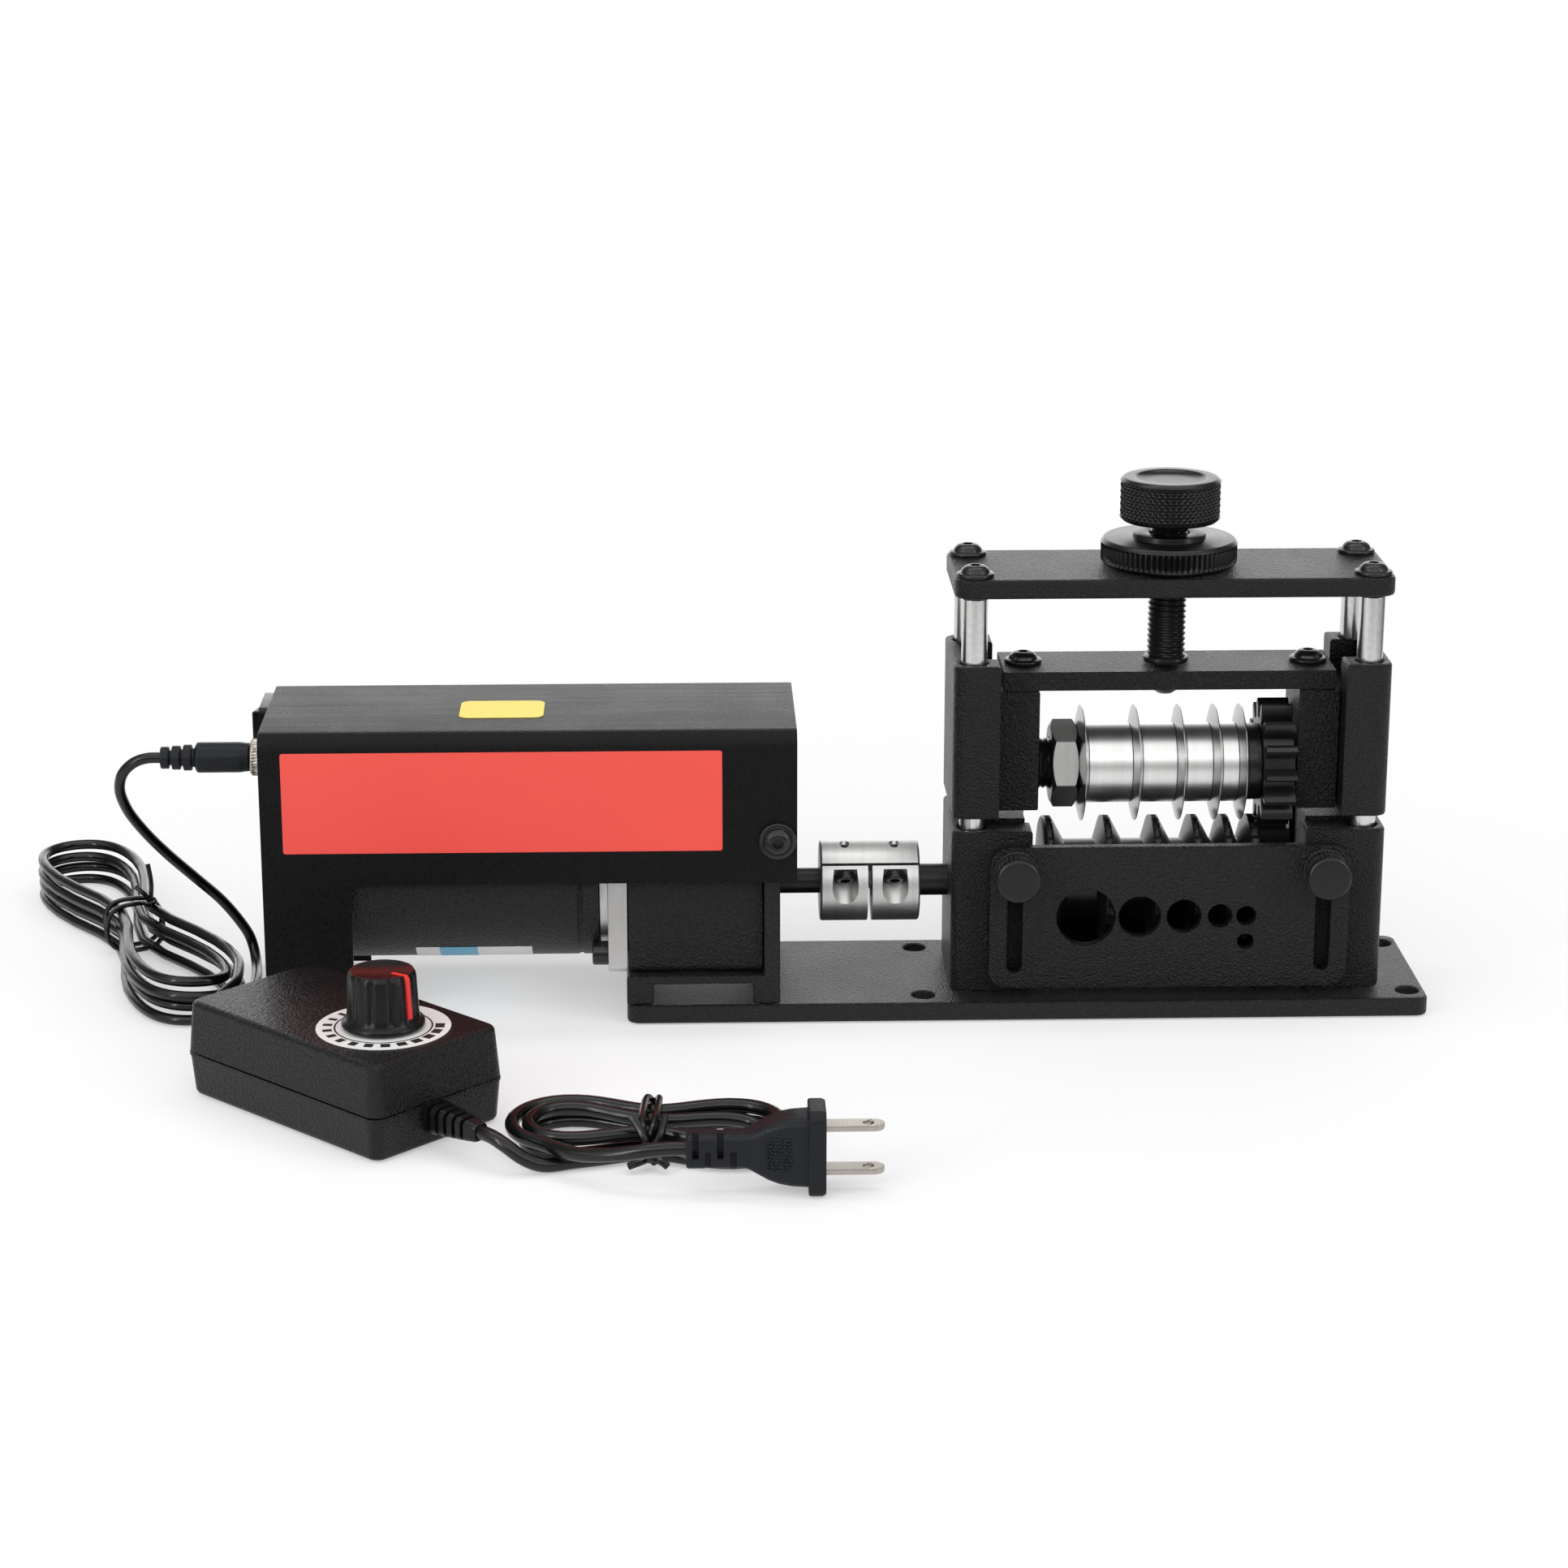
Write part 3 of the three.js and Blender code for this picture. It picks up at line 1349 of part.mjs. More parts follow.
// The points of a hank: the spiral winds in on one layer, out on the next, and changes layer in between
function hankPoints(hank, diameter, stepsPerTurn) {
  const heading = THREE.MathUtils.degToRad(hank.heading);
  const start = THREE.MathUtils.degToRad(hank.startAngle);
  const count = Math.round(hank.turns * stepsPerTurn);
  const turnsPerLayer = hank.turns / hank.layers;
  const points = [];
  for (let i = 0; i <= count; i += 1) {
    const turn = (i / count) * hank.turns;
    const angle = start + hank.direction * turn * Math.PI * 2;
    const spread = Math.abs(1 - ((turn / turnsPerLayer) % 2)) * turnsPerLayer * hank.pitch;
    let climb = 0;
    for (let layer = 1; layer < hank.layers; layer += 1) {
      climb += THREE.MathUtils.smoothstep(turn - layer * turnsPerLayer, -0.25, 0.25);
    }
    const level = hank.startsOnTop ? hank.layers - 1 - climb : climb;
    const slope = hankOutline(hank, angle + waistSlopeStep).sub(hankOutline(hank, angle - waistSlopeStep));
    const outward = new THREE.Vector2(slope.y, -slope.x).setLength(spread);
    const flat = hankOutline(hank, angle).add(outward).rotateAround(new THREE.Vector2(), heading);
    points.push(
      new THREE.Vector3(hank.centre[0] + flat.x, hank.centre[1] + flat.y, diameter / 2 + level * hank.rise),
    );
  }
  return points;
}

// A hank's ends run straight for one cord diameter
function hankWithEnds(hank, diameter) {
  const points = hankPoints(hank, diameter, hankStepsPerTurn);
  const first = points[0].clone().sub(points[1]).setLength(diameter).add(points[0]);
  const last = points.at(-1).clone().sub(points.at(-2)).setLength(diameter).add(points.at(-1));
  return [first, ...points, last];
}

function leastHankGap(hank, diameter) {
  const points = hankPoints(hank, diameter, hankGapSamples);
  const lengths = [0];
  for (let i = 1; i < points.length; i += 1) {
    lengths.push(lengths[i - 1] + points[i].distanceTo(points[i - 1]));
  }
  let least = Infinity;
  for (let i = 0; i < points.length; i += 1) {
    for (let j = i + 1; j < points.length; j += 1) {
      if (lengths[j] - lengths[i] > diameter * hankNearby) {
        least = Math.min(least, points[i].distanceTo(points[j]) - diameter);
      }
    }
  }
  return { least, length: lengths.at(-1) };
}

// The two points that carry a free stretch straight up to the end of a hank
function meetingPoints(hankEnd, hankNext, diameter) {
  const outward = hankEnd.clone().sub(hankNext).normalize();
  return [seatGap, diameter + seatGap].map((away) => hankEnd.clone().addScaledVector(outward, away));
}

// The mouth of a strain relief on one end of the adapter, in the part's frame
function reliefMouth(end, offset) {
  const turn = THREE.MathUtils.degToRad(adapterTurn);
  const along = end * (adapterLength / 2 + reliefLength);
  const point = (distance) =>
    new THREE.Vector3(
      adapterPlace[0] + (along + end * distance) * Math.cos(turn) - offset * Math.sin(turn),
      adapterPlace[1] + (along + end * distance) * Math.sin(turn) + offset * Math.cos(turn),
      reliefHeight,
    );
  return point;
}

const vectors = (route) => route.map(([x, y, z]) => new THREE.Vector3(x, y, z));

function machineCord(group) {
  const diameter = machineCordDiameter;
  const hank = hankWithEnds(machineHank, diameter);
  const plugEnd = coverEnd - seatGap * 2 - jackNutThickness - machinePlugLength - machinePlugReliefLength;
  const fromPlug = [seatGap, seatGap + diameter].map(
    (away) => new THREE.Vector3(plugEnd - away, jackOffset, jackHeight),
  );
  const [near, far] = meetingPoints(hank[0], hank[1], diameter);
  const lead = [...fromPlug, ...vectors(machineLeadRoute), far, near];
  const [leaveNear, leaveFar] = meetingPoints(hank.at(-1), hank.at(-2), diameter);
  const mouth = reliefMouth(-1, supplyReliefOffset);
  const tail = [leaveNear, leaveFar, ...vectors(machineTailRoute), mouth(diameter + seatGap), mouth(seatGap)];
  place(group, "machine_cord_lead", cordAlong(lead, diameter, 8), "cordJacket");
  place(group, "machine_cord_hank", cordAlong(hank, diameter, 6, hank.length - 1), "cordJacket");
  place(group, "machine_cord_tail", cordAlong(tail, diameter, 8), "cordJacket");
  report("machine cord", lead, tail, machineHank, diameter);
}

function mainsCord(group) {
  const diameter = mainsCordDiameter;
  const hank = hankWithEnds(mainsHank, diameter);
  const mouth = reliefMouth(1, mainsReliefOffset);
  const [near, far] = meetingPoints(hank[0], hank[1], diameter);
  const lead = [mouth(seatGap), mouth(diameter + seatGap), ...vectors(mainsLeadRoute), far, near];
  const [leaveNear, leaveFar] = meetingPoints(hank.at(-1), hank.at(-2), diameter);
  const toPlug = [seatGap + diameter, seatGap].map(
    (away) => new THREE.Vector3(mainsPlugPlace[0] - away, mainsPlugPlace[1], mainsPlugHeight),
  );
  const tail = [leaveNear, leaveFar, ...vectors(mainsTailRoute), ...toPlug];
  place(group, "mains_cord_lead", cordAlong(lead, diameter, 10), "cordJacket");
  place(group, "mains_cord_hank", cordAlong(hank, diameter, 6, hank.length - 1), "cordJacket");
  place(group, "mains_cord_tail", cordAlong(tail, diameter, 10), "cordJacket");
  report("mains cord", lead, tail, mainsHank, diameter);
}

function report(name, lead, tail, hank, diameter) {
  const { least, length } = leastHankGap(hank, diameter);
  const free = [lead, tail].map((points) => new THREE.CatmullRomCurve3(points).getLength());
  const total = free[0] + length + free[1];
  console.log(`${name}: least gap in its hank ${least.toFixed(2)} mm, length ${total.toFixed(0)} mm`);
}

// The whole machine
const machine = new THREE.Group();
place(machine, "base_plate", basePlate(), "powderCoat");
place(machine, "motor_bracket", motorBracket(), "powderCoat");
place(machine, "gearbox", gearbox(), "powderCoat");
place(machine, "gearbox_end_plate", gearboxEndPlate(), "aluminium");
place(machine, "motor", motor(), "powderCoat");
place(machine, "motor_cover", motorCover(), "coverCoat");
place(machine, "power_jack", powerJack(), "nickel");
place(machine, "switch_frame", switchFrame(), "blackPlastic");
place(machine, "switch_rocker", switchRocker(), "blackPlastic");
place(machine, "output_shaft", outputShaft(), "blackOxide");
place(machine, "shaft_coupling", coupling(), "aluminium");
place(machine, "roller_shaft", rollerShaft(), "blackOxide");
place(machine, "feed_roller", feedRoller(), "blackOxide");
const toothStep = (Math.PI * 2) / gearTeeth;
place(machine, "roller_gear", spurGear(rollerShaftDiameter, rollerAxisHeight, Math.PI / 2), "blackOxide");
const bladeGear = spurGear(bladeShaftDiameter, bladeAxisHeight, -Math.PI / 2 + toothStep / 2);
const hubSpan = [lastBladeOffset + bladeThickness / 2 + stackGap, gearLeft + cutOverrun];
place(machine, "blade_gear", join(bladeGear, sleeve(hubDiameter, hubSpan)), "blackOxide");
for (const [side, hand] of [
  [-1, "left"],
  [1, "right"],
]) {
  place(machine, `fixed_side_${hand}`, lowerSide(side), "powderCoat");
  place(machine, `roller_bearing_block_${hand}`, lowerBearing(side), "powderCoat");
  const carriageSide = sideChannel(side, carriageReach, [carriageBottom, carriageTop]);
  place(machine, `carriage_side_${hand}`, carriageSide, "powderCoat");
  place(machine, `blade_bearing_block_${hand}`, upperBearing(side), "powderCoat");
  place(machine, `thumb_screw_${hand}`, thumbScrew(side), "anodised");
  place(machine, `guide_rod_front_${hand}`, guideRod(side, -1), "steel");
  place(machine, `guide_rod_rear_${hand}`, guideRod(side, 1), "steel");
}
place(machine, "rear_stay", rearStay(), "powderCoat");
place(machine, "carriage_crossbar", crossbar(), "powderCoat");
place(machine, "top_plate", topPlate(), "powderCoat");
place(machine, "blade_shaft", bladeShaft(), "blackOxide");
place(machine, "blade_clamp_nut", clampNut(), "blackOxide");
bladeOffsets.forEach((offset, i) => place(machine, `blade_${i + 1}`, blade(offset), "steel"));
bladeSpacings.forEach((_, i) => place(machine, `blade_spacer_${i + 1}`, spacer(i), "steel"));
place(machine, "adjusting_screw", adjustingScrew(), "blackOxide");
place(machine, "adjusting_knob", adjustingKnob(), "anodised");
place(machine, "lock_wheel", lockWheel(), "anodised");
place(machine, "guide_plate", guidePlate(), "powderCoat");

const adapter = new THREE.Group();
adapter.position.set(...adapterPlace, 0);
adapter.rotation.z = THREE.MathUtils.degToRad(adapterTurn);
place(adapter, "adapter_base", adapterBase(), "blackPlastic");
place(adapter, "adapter_lid", adapterLid(), "blackPlastic");
place(adapter, "speed_knob", speedKnob(), "blackPlastic");
const mainsEnd = new THREE.Group();
mainsEnd.position.y = mainsReliefOffset;
place(mainsEnd, "mains_relief", strainRelief(), "blackPlastic");
adapter.add(mainsEnd);
const supplyEnd = new THREE.Group();
supplyEnd.position.y = supplyReliefOffset;
supplyEnd.rotation.z = Math.PI;
place(supplyEnd, "supply_relief", strainRelief(), "blackPlastic");
adapter.add(supplyEnd);
machine.add(adapter);

place(machine, "machine_plug", machinePlug(), "cordJacket");
place(machine, "mains_plug", mainsPlug(), "cordJacket");
machineCord(machine);
mainsCord(machine);

export default machine;
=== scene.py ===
# %% [markdown]
# # An electric wire stripping machine, dressed for its portrait
#
# The real machine is a row of turned and milled metal parts: a motor under a bent sheet cover, a
# coupling, and a head with a grooved roller below and five round blades above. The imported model
# already says where every part is and how it moves. This lesson gives each part the edges,
# threads, grain and gloss that the plain solids leave out, and leaves every place as it is.

# %% Load the frame
import math

import bmesh
import bpy
from mathutils import Matrix, Vector
from mathutils.geometry import interpolate_bezier


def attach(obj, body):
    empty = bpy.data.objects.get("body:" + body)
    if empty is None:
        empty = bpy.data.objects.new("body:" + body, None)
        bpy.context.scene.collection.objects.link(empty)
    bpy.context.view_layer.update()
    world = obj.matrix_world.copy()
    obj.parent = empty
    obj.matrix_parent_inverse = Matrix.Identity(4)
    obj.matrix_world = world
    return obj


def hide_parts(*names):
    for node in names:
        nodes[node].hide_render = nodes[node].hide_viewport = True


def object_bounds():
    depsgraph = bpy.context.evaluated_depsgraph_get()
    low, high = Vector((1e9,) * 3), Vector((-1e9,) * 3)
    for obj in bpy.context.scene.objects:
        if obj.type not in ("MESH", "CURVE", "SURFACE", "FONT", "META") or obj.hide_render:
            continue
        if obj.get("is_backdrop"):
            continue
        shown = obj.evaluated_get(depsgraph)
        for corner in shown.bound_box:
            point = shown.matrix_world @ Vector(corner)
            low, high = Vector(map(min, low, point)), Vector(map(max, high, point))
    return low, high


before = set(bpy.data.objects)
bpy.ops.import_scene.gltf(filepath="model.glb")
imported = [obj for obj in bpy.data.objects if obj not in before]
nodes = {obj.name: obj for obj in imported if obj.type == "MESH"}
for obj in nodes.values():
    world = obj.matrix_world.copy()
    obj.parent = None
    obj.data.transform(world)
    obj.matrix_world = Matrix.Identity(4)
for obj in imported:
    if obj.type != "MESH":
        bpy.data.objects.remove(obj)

MM = 0.001  # shapes are worked out in millimetres, and pieces are in metres
HEAD = 43.5  # the middle of the stripping head along X
ROLLER_Z, BLADE_Z, MOTOR_Z = 36.5, 74.5, 44.5  # heights of the axes that run along X
PLUG_X, PLUG_Y, PLUG_Z = -107.3, -165.3, 12.5  # where the mains plug begins, on its axis
HEAD_AXIS, ROLLER_AXIS, BLADE_AXIS = (HEAD, 0, 0), (0, 0, ROLLER_Z), (0, 0, BLADE_Z)
MOTOR_AXIS, JACK_AXIS, PLUG_AXIS = (0, 0, MOTOR_Z), (0, -16, 83), (0, PLUG_Y, PLUG_Z)
HANDS = ((-1, "left"), (1, "right"))
CORNERS = [(side, across) for side in (-1, 1) for across in (-1, 1)]

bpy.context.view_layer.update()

# %% [markdown]
# ## The camera
#
# The product is seen from a little above, through a long lens, so its edges stay almost parallel.
# An 85 mm lens at just over a metre gives that. The place and the tilt were worked out from the
# corners of the base plate, whose size is known.

# %% Set up the camera
def new_object(name, data):
    made = bpy.data.objects.new(name, data)
    bpy.context.scene.collection.objects.link(made)
    return made


LOOK_DOWN, LOOK_RIGHT = 16.3, 1.7  # degrees
camera_data = bpy.data.cameras.new("camera")
camera_data.lens = 85
camera_data.sensor_width = 36
camera_data.clip_start, camera_data.clip_end = 0.01, 20
camera = new_object("camera", camera_data)
camera.location = (-0.108499, -1.114042, 0.394178)
camera.rotation_euler = (math.radians(90 - LOOK_DOWN), 0, math.radians(-LOOK_RIGHT))
bpy.context.scene.camera = camera
bpy.context.scene.view_settings.view_transform = "Standard"
print("camera at", [round(value, 3) for value in camera.location])

# %% [markdown]
# ## Node trees written as sums
#
# Materials and Geometry Nodes are both trees of nodes. A small class wraps a socket, so that
# `1 - mask * 0.3` adds the Math nodes by itself, and one method adds every other kind of node:
# it sets the node's options first and then the values or links of its sockets.

# %% Wrap sockets and trees
class Value:
    def __init__(self, tree, socket):
        self.tree, self.socket = tree, socket

    def also(self, output):
        """Another output of the same node."""
        return Value(self.tree, self.socket.node.outputs[output])

    def __add__(self, other): return self.tree.sum("ADD", self, other)
    def __radd__(self, other): return self.tree.sum("ADD", other, self)
    def __sub__(self, other): return self.tree.sum("SUBTRACT", self, other)
    def __rsub__(self, other): return self.tree.sum("SUBTRACT", other, self)
    def __mul__(self, other): return self.tree.sum("MULTIPLY", self, other)
    def __rmul__(self, other): return self.tree.sum("MULTIPLY", other, self)
    def __truediv__(self, other): return self.tree.sum("DIVIDE", self, other)
    def __abs__(self): return self.tree.sum("ABSOLUTE", self)
    def __pow__(self, other): return self.tree.sum("POWER", self, other)


class Tree:
    def __init__(self, data):
        self.data = data

    def node(self, kind, settings=(), values=(), output=0):
        """Adds a node, sets its options, then its sockets, and wraps one of its outputs."""
        made = self.data.nodes.new(kind)
        for name, setting in dict(settings).items():
            if name == "stops":
                ramp = made.color_ramp.elements
                while len(ramp) < len(setting):
                    ramp.new(0.5)
                for stop, (place, colour) in zip(ramp, setting):
                    stop.position, stop.color = place, colour
            else:
                setattr(made, name, setting)
        for socket, value in dict(values).items():
            if isinstance(value, Value):
                self.data.links.new(value.socket, made.inputs[socket])
            else:
                made.inputs[socket].default_value = value
        return Value(self, made.outputs[output])

    def sum(self, operation, *values):
        return self.node("ShaderNodeMath", {"operation": operation}, dict(enumerate(values)))

    def parts(self, vector):
        """The three numbers of a vector."""
        split = self.node("ShaderNodeSeparateXYZ", values={0: vector})
        return [split.also(index) for index in range(3)]

    def between(self, value, low, high):
        """0 below low, 1 above high, and smooth between them."""
        values = {"Value": value, "From Min": low, "From Max": high}
        return self.node("ShaderNodeMapRange", {"interpolation_type": "SMOOTHSTEP"}, values)


print("sockets are wrapped by", Value.__name__, "and trees by", Tree.__name__)

# %% [markdown]
# ## What every finish starts from
#
# Every finish reads Object coordinates, which are metres on the piece, so a grain of 0.5 mm is a
# noise scale of 2000. `Finish` opens a material and writes what is the same all over onto the
# shader's own sockets, and its method `drive` links what changes over the surface.

# %% Open a material
def colour(red, green, blue):
    return (red, green, blue, 1)


class Finish(Tree):
    def __init__(self, name, fixed):
        self.material = bpy.data.materials.new(name)
        self.material.use_nodes = True
        super().__init__(self.material.node_tree)
        self.shader = self.data.nodes["Principled BSDF"]
        for socket, value in fixed.items():
            self.shader.inputs[socket].default_value = value
        self.place = self.node("ShaderNodeTexCoord", output="Object")

    def drive(self, socket, value):
        self.data.links.new(value.socket, self.shader.inputs[socket])

    def noise(self, scale, detail=2, place=None):
        values = {"Vector": place or self.place, "Scale": scale, "Detail": detail}
        return self.node("ShaderNodeTexNoise", values=values)

    def stretched(self, x, y, z):
        """Object coordinates scaled by axis, for grain that runs one way."""
        settings = {"operation": "MULTIPLY"}
        return self.node("ShaderNodeVectorMath", settings, {0: self.place, 1: (x, y, z)})

    def mix(self, amount, first, second):
        """A colour between two; sockets 6 and 7 take the colours and output 2 gives the mix."""
        values = {"Factor": amount, 6: first, 7: second}
        return self.node("ShaderNodeMix", {"data_type": "RGBA"}, values, output=2)

    def bump(self, height, depth):
        """Raises the surface by up to depth, in metres."""
        values = {"Height": height, "Distance": depth, "Strength": 1.0}
        self.drive("Normal", self.node("ShaderNodeBump", values=values))


print("finishes are written on the Principled shader")

# %% [markdown]
# ## Powder coat, and the smoother coat of the cover
#
# The plates are black powder coat: powder that was baked on and flowed into a fine orange peel,
# with pin-prick glints on top faces. Three noises make it: one for the grain, a finer one for the
# glints and a broad one for the uneven gloss. The glints are real in the lower roughness and the
# raised bump, and painted in the base colour, where they are lighter spots: painted highlights.
# The cover is the same paint laid thinner, with faint streaks along X.

# %% Mix the two coats
def make_coat(name, dark, light, gloss, grain, depth, specular, streaks=0.0):
    coat = Finish(name, {"Specular IOR Level": specular})
    peel = coat.between(coat.noise(grain, 3), 0.3, 0.7)
    glint = coat.between(coat.noise(grain * 1.7, 1), 0.6, 0.74)
    broad = coat.noise(45, 2)
    streak = coat.noise(1, 3, coat.stretched(14, 420, 420))
    # The peel share is the coat's own grain; the glint share paints lighter spots, painted highlights.
    grain_and_painted_glint = peel * 0.45 + glint * 0.55
    coat.drive("Base Color", coat.mix(grain_and_painted_glint, colour(*dark), colour(*light)))
    coat.drive("Roughness", gloss + broad * 0.12 - glint * 0.16 + streak * streaks)
    coat.bump(peel + glint * 0.4, depth)
    return coat.material


powder_coat = make_coat(
    "powder_coat", (0.0008, 0.0008, 0.0009), (0.0065, 0.0065, 0.0072), gloss=0.3, grain=1350,
    depth=0.0004, specular=0.346)
cover_coat = make_coat(
    "cover_coat", (0.001, 0.001, 0.0011), (0.006, 0.006, 0.0068), gloss=0.24, grain=1700,
    depth=0.0001, specular=0.154, streaks=0.16)
print("coats:", powder_coat.name, cover_coat.name)

# %% [markdown]
# ## Turned and polished metal
#
# A lathe leaves lines that run round the axis. They are a noise that changes along the axis and
# with the radius but not round it, so the finish needs to know its axis. The same function makes
# bright steel, satin aluminium, nickel and the black oxide of the gears and shafts.

# %% Turn the metals
def make_metal(name, tone, rough, axis, centre, metallic=1.0, lines=0.1, specular=0.5):
    metal = Finish(name, {"Metallic": metallic, "Specular IOR Level": specular})
    offset = tuple(-MM * part for part in centre)
    moved = metal.node("ShaderNodeVectorMath", {"operation": "ADD"}, {0: metal.place, 1: offset})
    x, y, z = metal.parts(moved)
    along, across, up = {"x": (x, y, z), "y": (y, z, x), "z": (z, x, y)}[axis]
    radius = (across * across + up * up) ** 0.5
    lathe_lines = metal.node("ShaderNodeCombineXYZ", values={"X": along, "Y": radius})
    fine = metal.noise(3200, 2, lathe_lines)
    coarse = metal.noise(520, 2, lathe_lines)
    smudge = metal.noise(90, 3)
    lighter = colour(*[min(1, part * 1.12) for part in tone])
    darker = colour(*[part * 0.82 for part in tone])
    metal.drive("Base Color", metal.mix(coarse * 0.7 + smudge * 0.3, darker, lighter))
    metal.drive("Roughness", rough + (fine - 0.5) * lines + (smudge - 0.5) * 0.1)
    metal.bump(fine * 0.6 + coarse * 0.4, 0.000003)
    return metal.material


blade_steel = make_metal("blade_steel", (0.44, 0.44, 0.44), 0.24, "x", BLADE_AXIS)
spacer_steel = make_metal("spacer_steel", (0.82, 0.82, 0.81), 0.36, "x", BLADE_AXIS, lines=0.12)
# A lighter steel for the nut's flats: a painted reflection in place of the bright front flat.
nut_steel = make_metal("nut_steel", (0.46, 0.46, 0.45), 0.44, "x", BLADE_AXIS)
rod_steel = make_metal("rod_steel", (0.66, 0.66, 0.66), 0.2, "z", HEAD_AXIS, lines=0.08)
aluminium = make_metal("aluminium", (0.6, 0.598, 0.59), 0.42, "x", ROLLER_AXIS)
nickel = make_metal("nickel", (0.43, 0.4, 0.355), 0.3, "x", PLUG_AXIS, lines=0.2)
black_oxide = make_metal(
    "black_oxide", (0.02, 0.02, 0.021), 0.3, "x", BLADE_AXIS, metallic=0.5, lines=0.12)
roller_oxide = make_metal(
    "roller_oxide", (0.014, 0.014, 0.015), 0.34, "x", ROLLER_AXIS, 0.4, 0.12, specular=0.4)
anodised = make_metal(
    "anodised", (0.006, 0.006, 0.0065), 0.3, "z", HEAD_AXIS, 0.2, 0.1, specular=0.4)
screw_black = make_metal(
    "screw_black", (0.015, 0.015, 0.016), 0.26, "z", HEAD_AXIS, 0.4, 0.08, specular=0.6)
print("metals turned about X for the shafts and about Z for the rods and knobs")

# %% [markdown]
# ## Moulded plastic, cord jackets and films
#
# The adapter is moulded in a tool with an eroded grain, glossier on its rounded edges. The cords
# are smooth soft plastic. The labels are thin films, so they are an even colour with a little
# texture of the film itself, and they carry nothing.

# %% Mould the plastics
def make_plastic(name, dark, light, gloss, grain, depth, specular):
    plastic = Finish(name, {"Specular IOR Level": specular})
    pits = plastic.noise(grain, 2)
    broad = plastic.noise(60, 2)
    shade = pits * 0.6 + broad * 0.4
    plastic.drive("Base Color", plastic.mix(shade, colour(*dark), colour(*light)))
    plastic.drive("Roughness", gloss + (pits - 0.5) * 0.2 + (broad - 0.5) * 0.12)
    plastic.bump(plastic.between(pits, 0.35, 0.65), depth)
    return plastic.material


def make_film(name, tone, gloss):
    film = Finish(name, {"Specular IOR Level": 0.4})
    dots = film.noise(2600, 2)
    cloud = film.noise(28, 3)
    pale = colour(*[min(1, part * 1.06 + 0.004) for part in tone])
    deep = colour(*[part * 0.93 for part in tone])
    film.drive("Base Color", film.mix(dots * 0.5 + cloud * 0.5, deep, pale))
    film.drive("Roughness", gloss + (cloud - 0.5) * 0.16)
    film.bump(dots, 0.000004)
    return film.material


case_plastic = make_plastic(
    "case_plastic", (0.001, 0.001, 0.0012), (0.008, 0.008, 0.009), 0.28, 1500, 0.00018, 0.25)
knob_plastic = make_plastic(
    "knob_plastic", (0.003, 0.003, 0.0033), (0.007, 0.007, 0.0075), 0.26, 2600, 0.00001, 0.25)
plug_plastic = make_plastic(
    "plug_plastic", (0.004, 0.005, 0.007), (0.01, 0.011, 0.014), 0.4, 1400, 0.00004, 0.22)
cord_jacket = make_plastic(
    "cord_jacket", (0.002, 0.002, 0.0024), (0.004, 0.004, 0.0045), 0.22, 420, 0.000006, 0.4)
red_film = make_film("red_film", (0.8, 0.078, 0.06), 0.42)
yellow_film = make_film("yellow_film", (0.80, 0.60, 0.02), 0.4)
white_film = make_film("white_film", (0.78, 0.78, 0.77), 0.45)
blue_film = make_film("blue_film", (0.13, 0.42, 0.62), 0.45)
black_film = make_film("black_film", (0.012, 0.012, 0.012), 0.5)
pointer_red = make_film("pointer_red", (0.78, 0.03, 0.025), 0.4)
print("plastics and films:", case_plastic.name, red_film.name)

# %% [markdown]
# ## From a mesh to a piece
#
# Shapes are worked out in millimetres. `make_piece` brings one to metres, turns its faces
# outwards, shades it smooth except at sharp edges, and hands it to a body of the machine. The
# Weighted Normal modifier keeps flat faces flat beside a narrow rounded edge.

# %% Finish a mesh
def mesh_from(name, shape):
    mesh = bpy.data.meshes.new(name)
    shape.to_mesh(mesh)
    shape.free()
    return mesh


def solid_mesh(name, shape, scale=MM):
    """A closed bmesh in millimetres becomes a scaled mesh whose faces point outwards."""
    bmesh.ops.scale(shape, vec=(scale, scale, scale), verts=shape.verts)
    if shape.calc_volume(signed=True) < 0:
        bmesh.ops.reverse_faces(shape, faces=shape.faces)
    return mesh_from(name, shape)


def dress(name, mesh, finish, body, stands_for=(), sharp=40, weighted=True):
    piece = new_object(name, mesh)
    if not mesh.materials:
        mesh.materials.append(finish)
    mesh.shade_smooth()
    mesh.set_sharp_from_angle(angle=math.radians(sharp))
    if weighted:
        normals = piece.modifiers.new("flat faces", "WEIGHTED_NORMAL")
        normals.keep_sharp = True
    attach(piece, body)
    if stands_for:
        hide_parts(*stands_for)
    return piece


def make_piece(name, shape, finish, body, stands_for=(), sharp=40, weighted=True, slot=None):
    """shape is a bmesh in millimetres, in the machine's frame."""
    mesh = solid_mesh(name, shape)
    return dress(name, mesh, finish, body, stands_for, sharp, weighted)


TURN = {
    "x": Matrix(((0, 0, 1, 0), (1, 0, 0, 0), (0, 1, 0, 0), (0, 0, 0, 1))),
    "y": Matrix(((0, 1, 0, 0), (0, 0, 1, 0), (1, 0, 0, 0), (0, 0, 0, 1))),
    "z": Matrix.Identity(4),
}


def set_in_place(shape, axis, place=(0, 0, 0)):
    """Turns local Z onto an axis of the machine, then moves the shape to its place."""
    bmesh.ops.transform(shape, matrix=Matrix.Translation(place) @ TURN[axis], verts=shape.verts)
    return shape


print("a piece's place is in its mesh")

# %% [markdown]
# ## Turned shapes
#
# Rods, blades, rollers and knobs are outlines of radius and height, turned about an axis. The
# real edges are broken, never knife sharp, so `eased` rounds each corner of the outline first.
# A point may also carry a weight, which later says where a knurl or a thread is cut.

# %% Turn an outline
def with_weights(outline):
    """Points as (radius, height, weight); a point that has no weight gets 0."""
    return [tuple(point) + (0,) * (3 - len(point)) for point in outline]


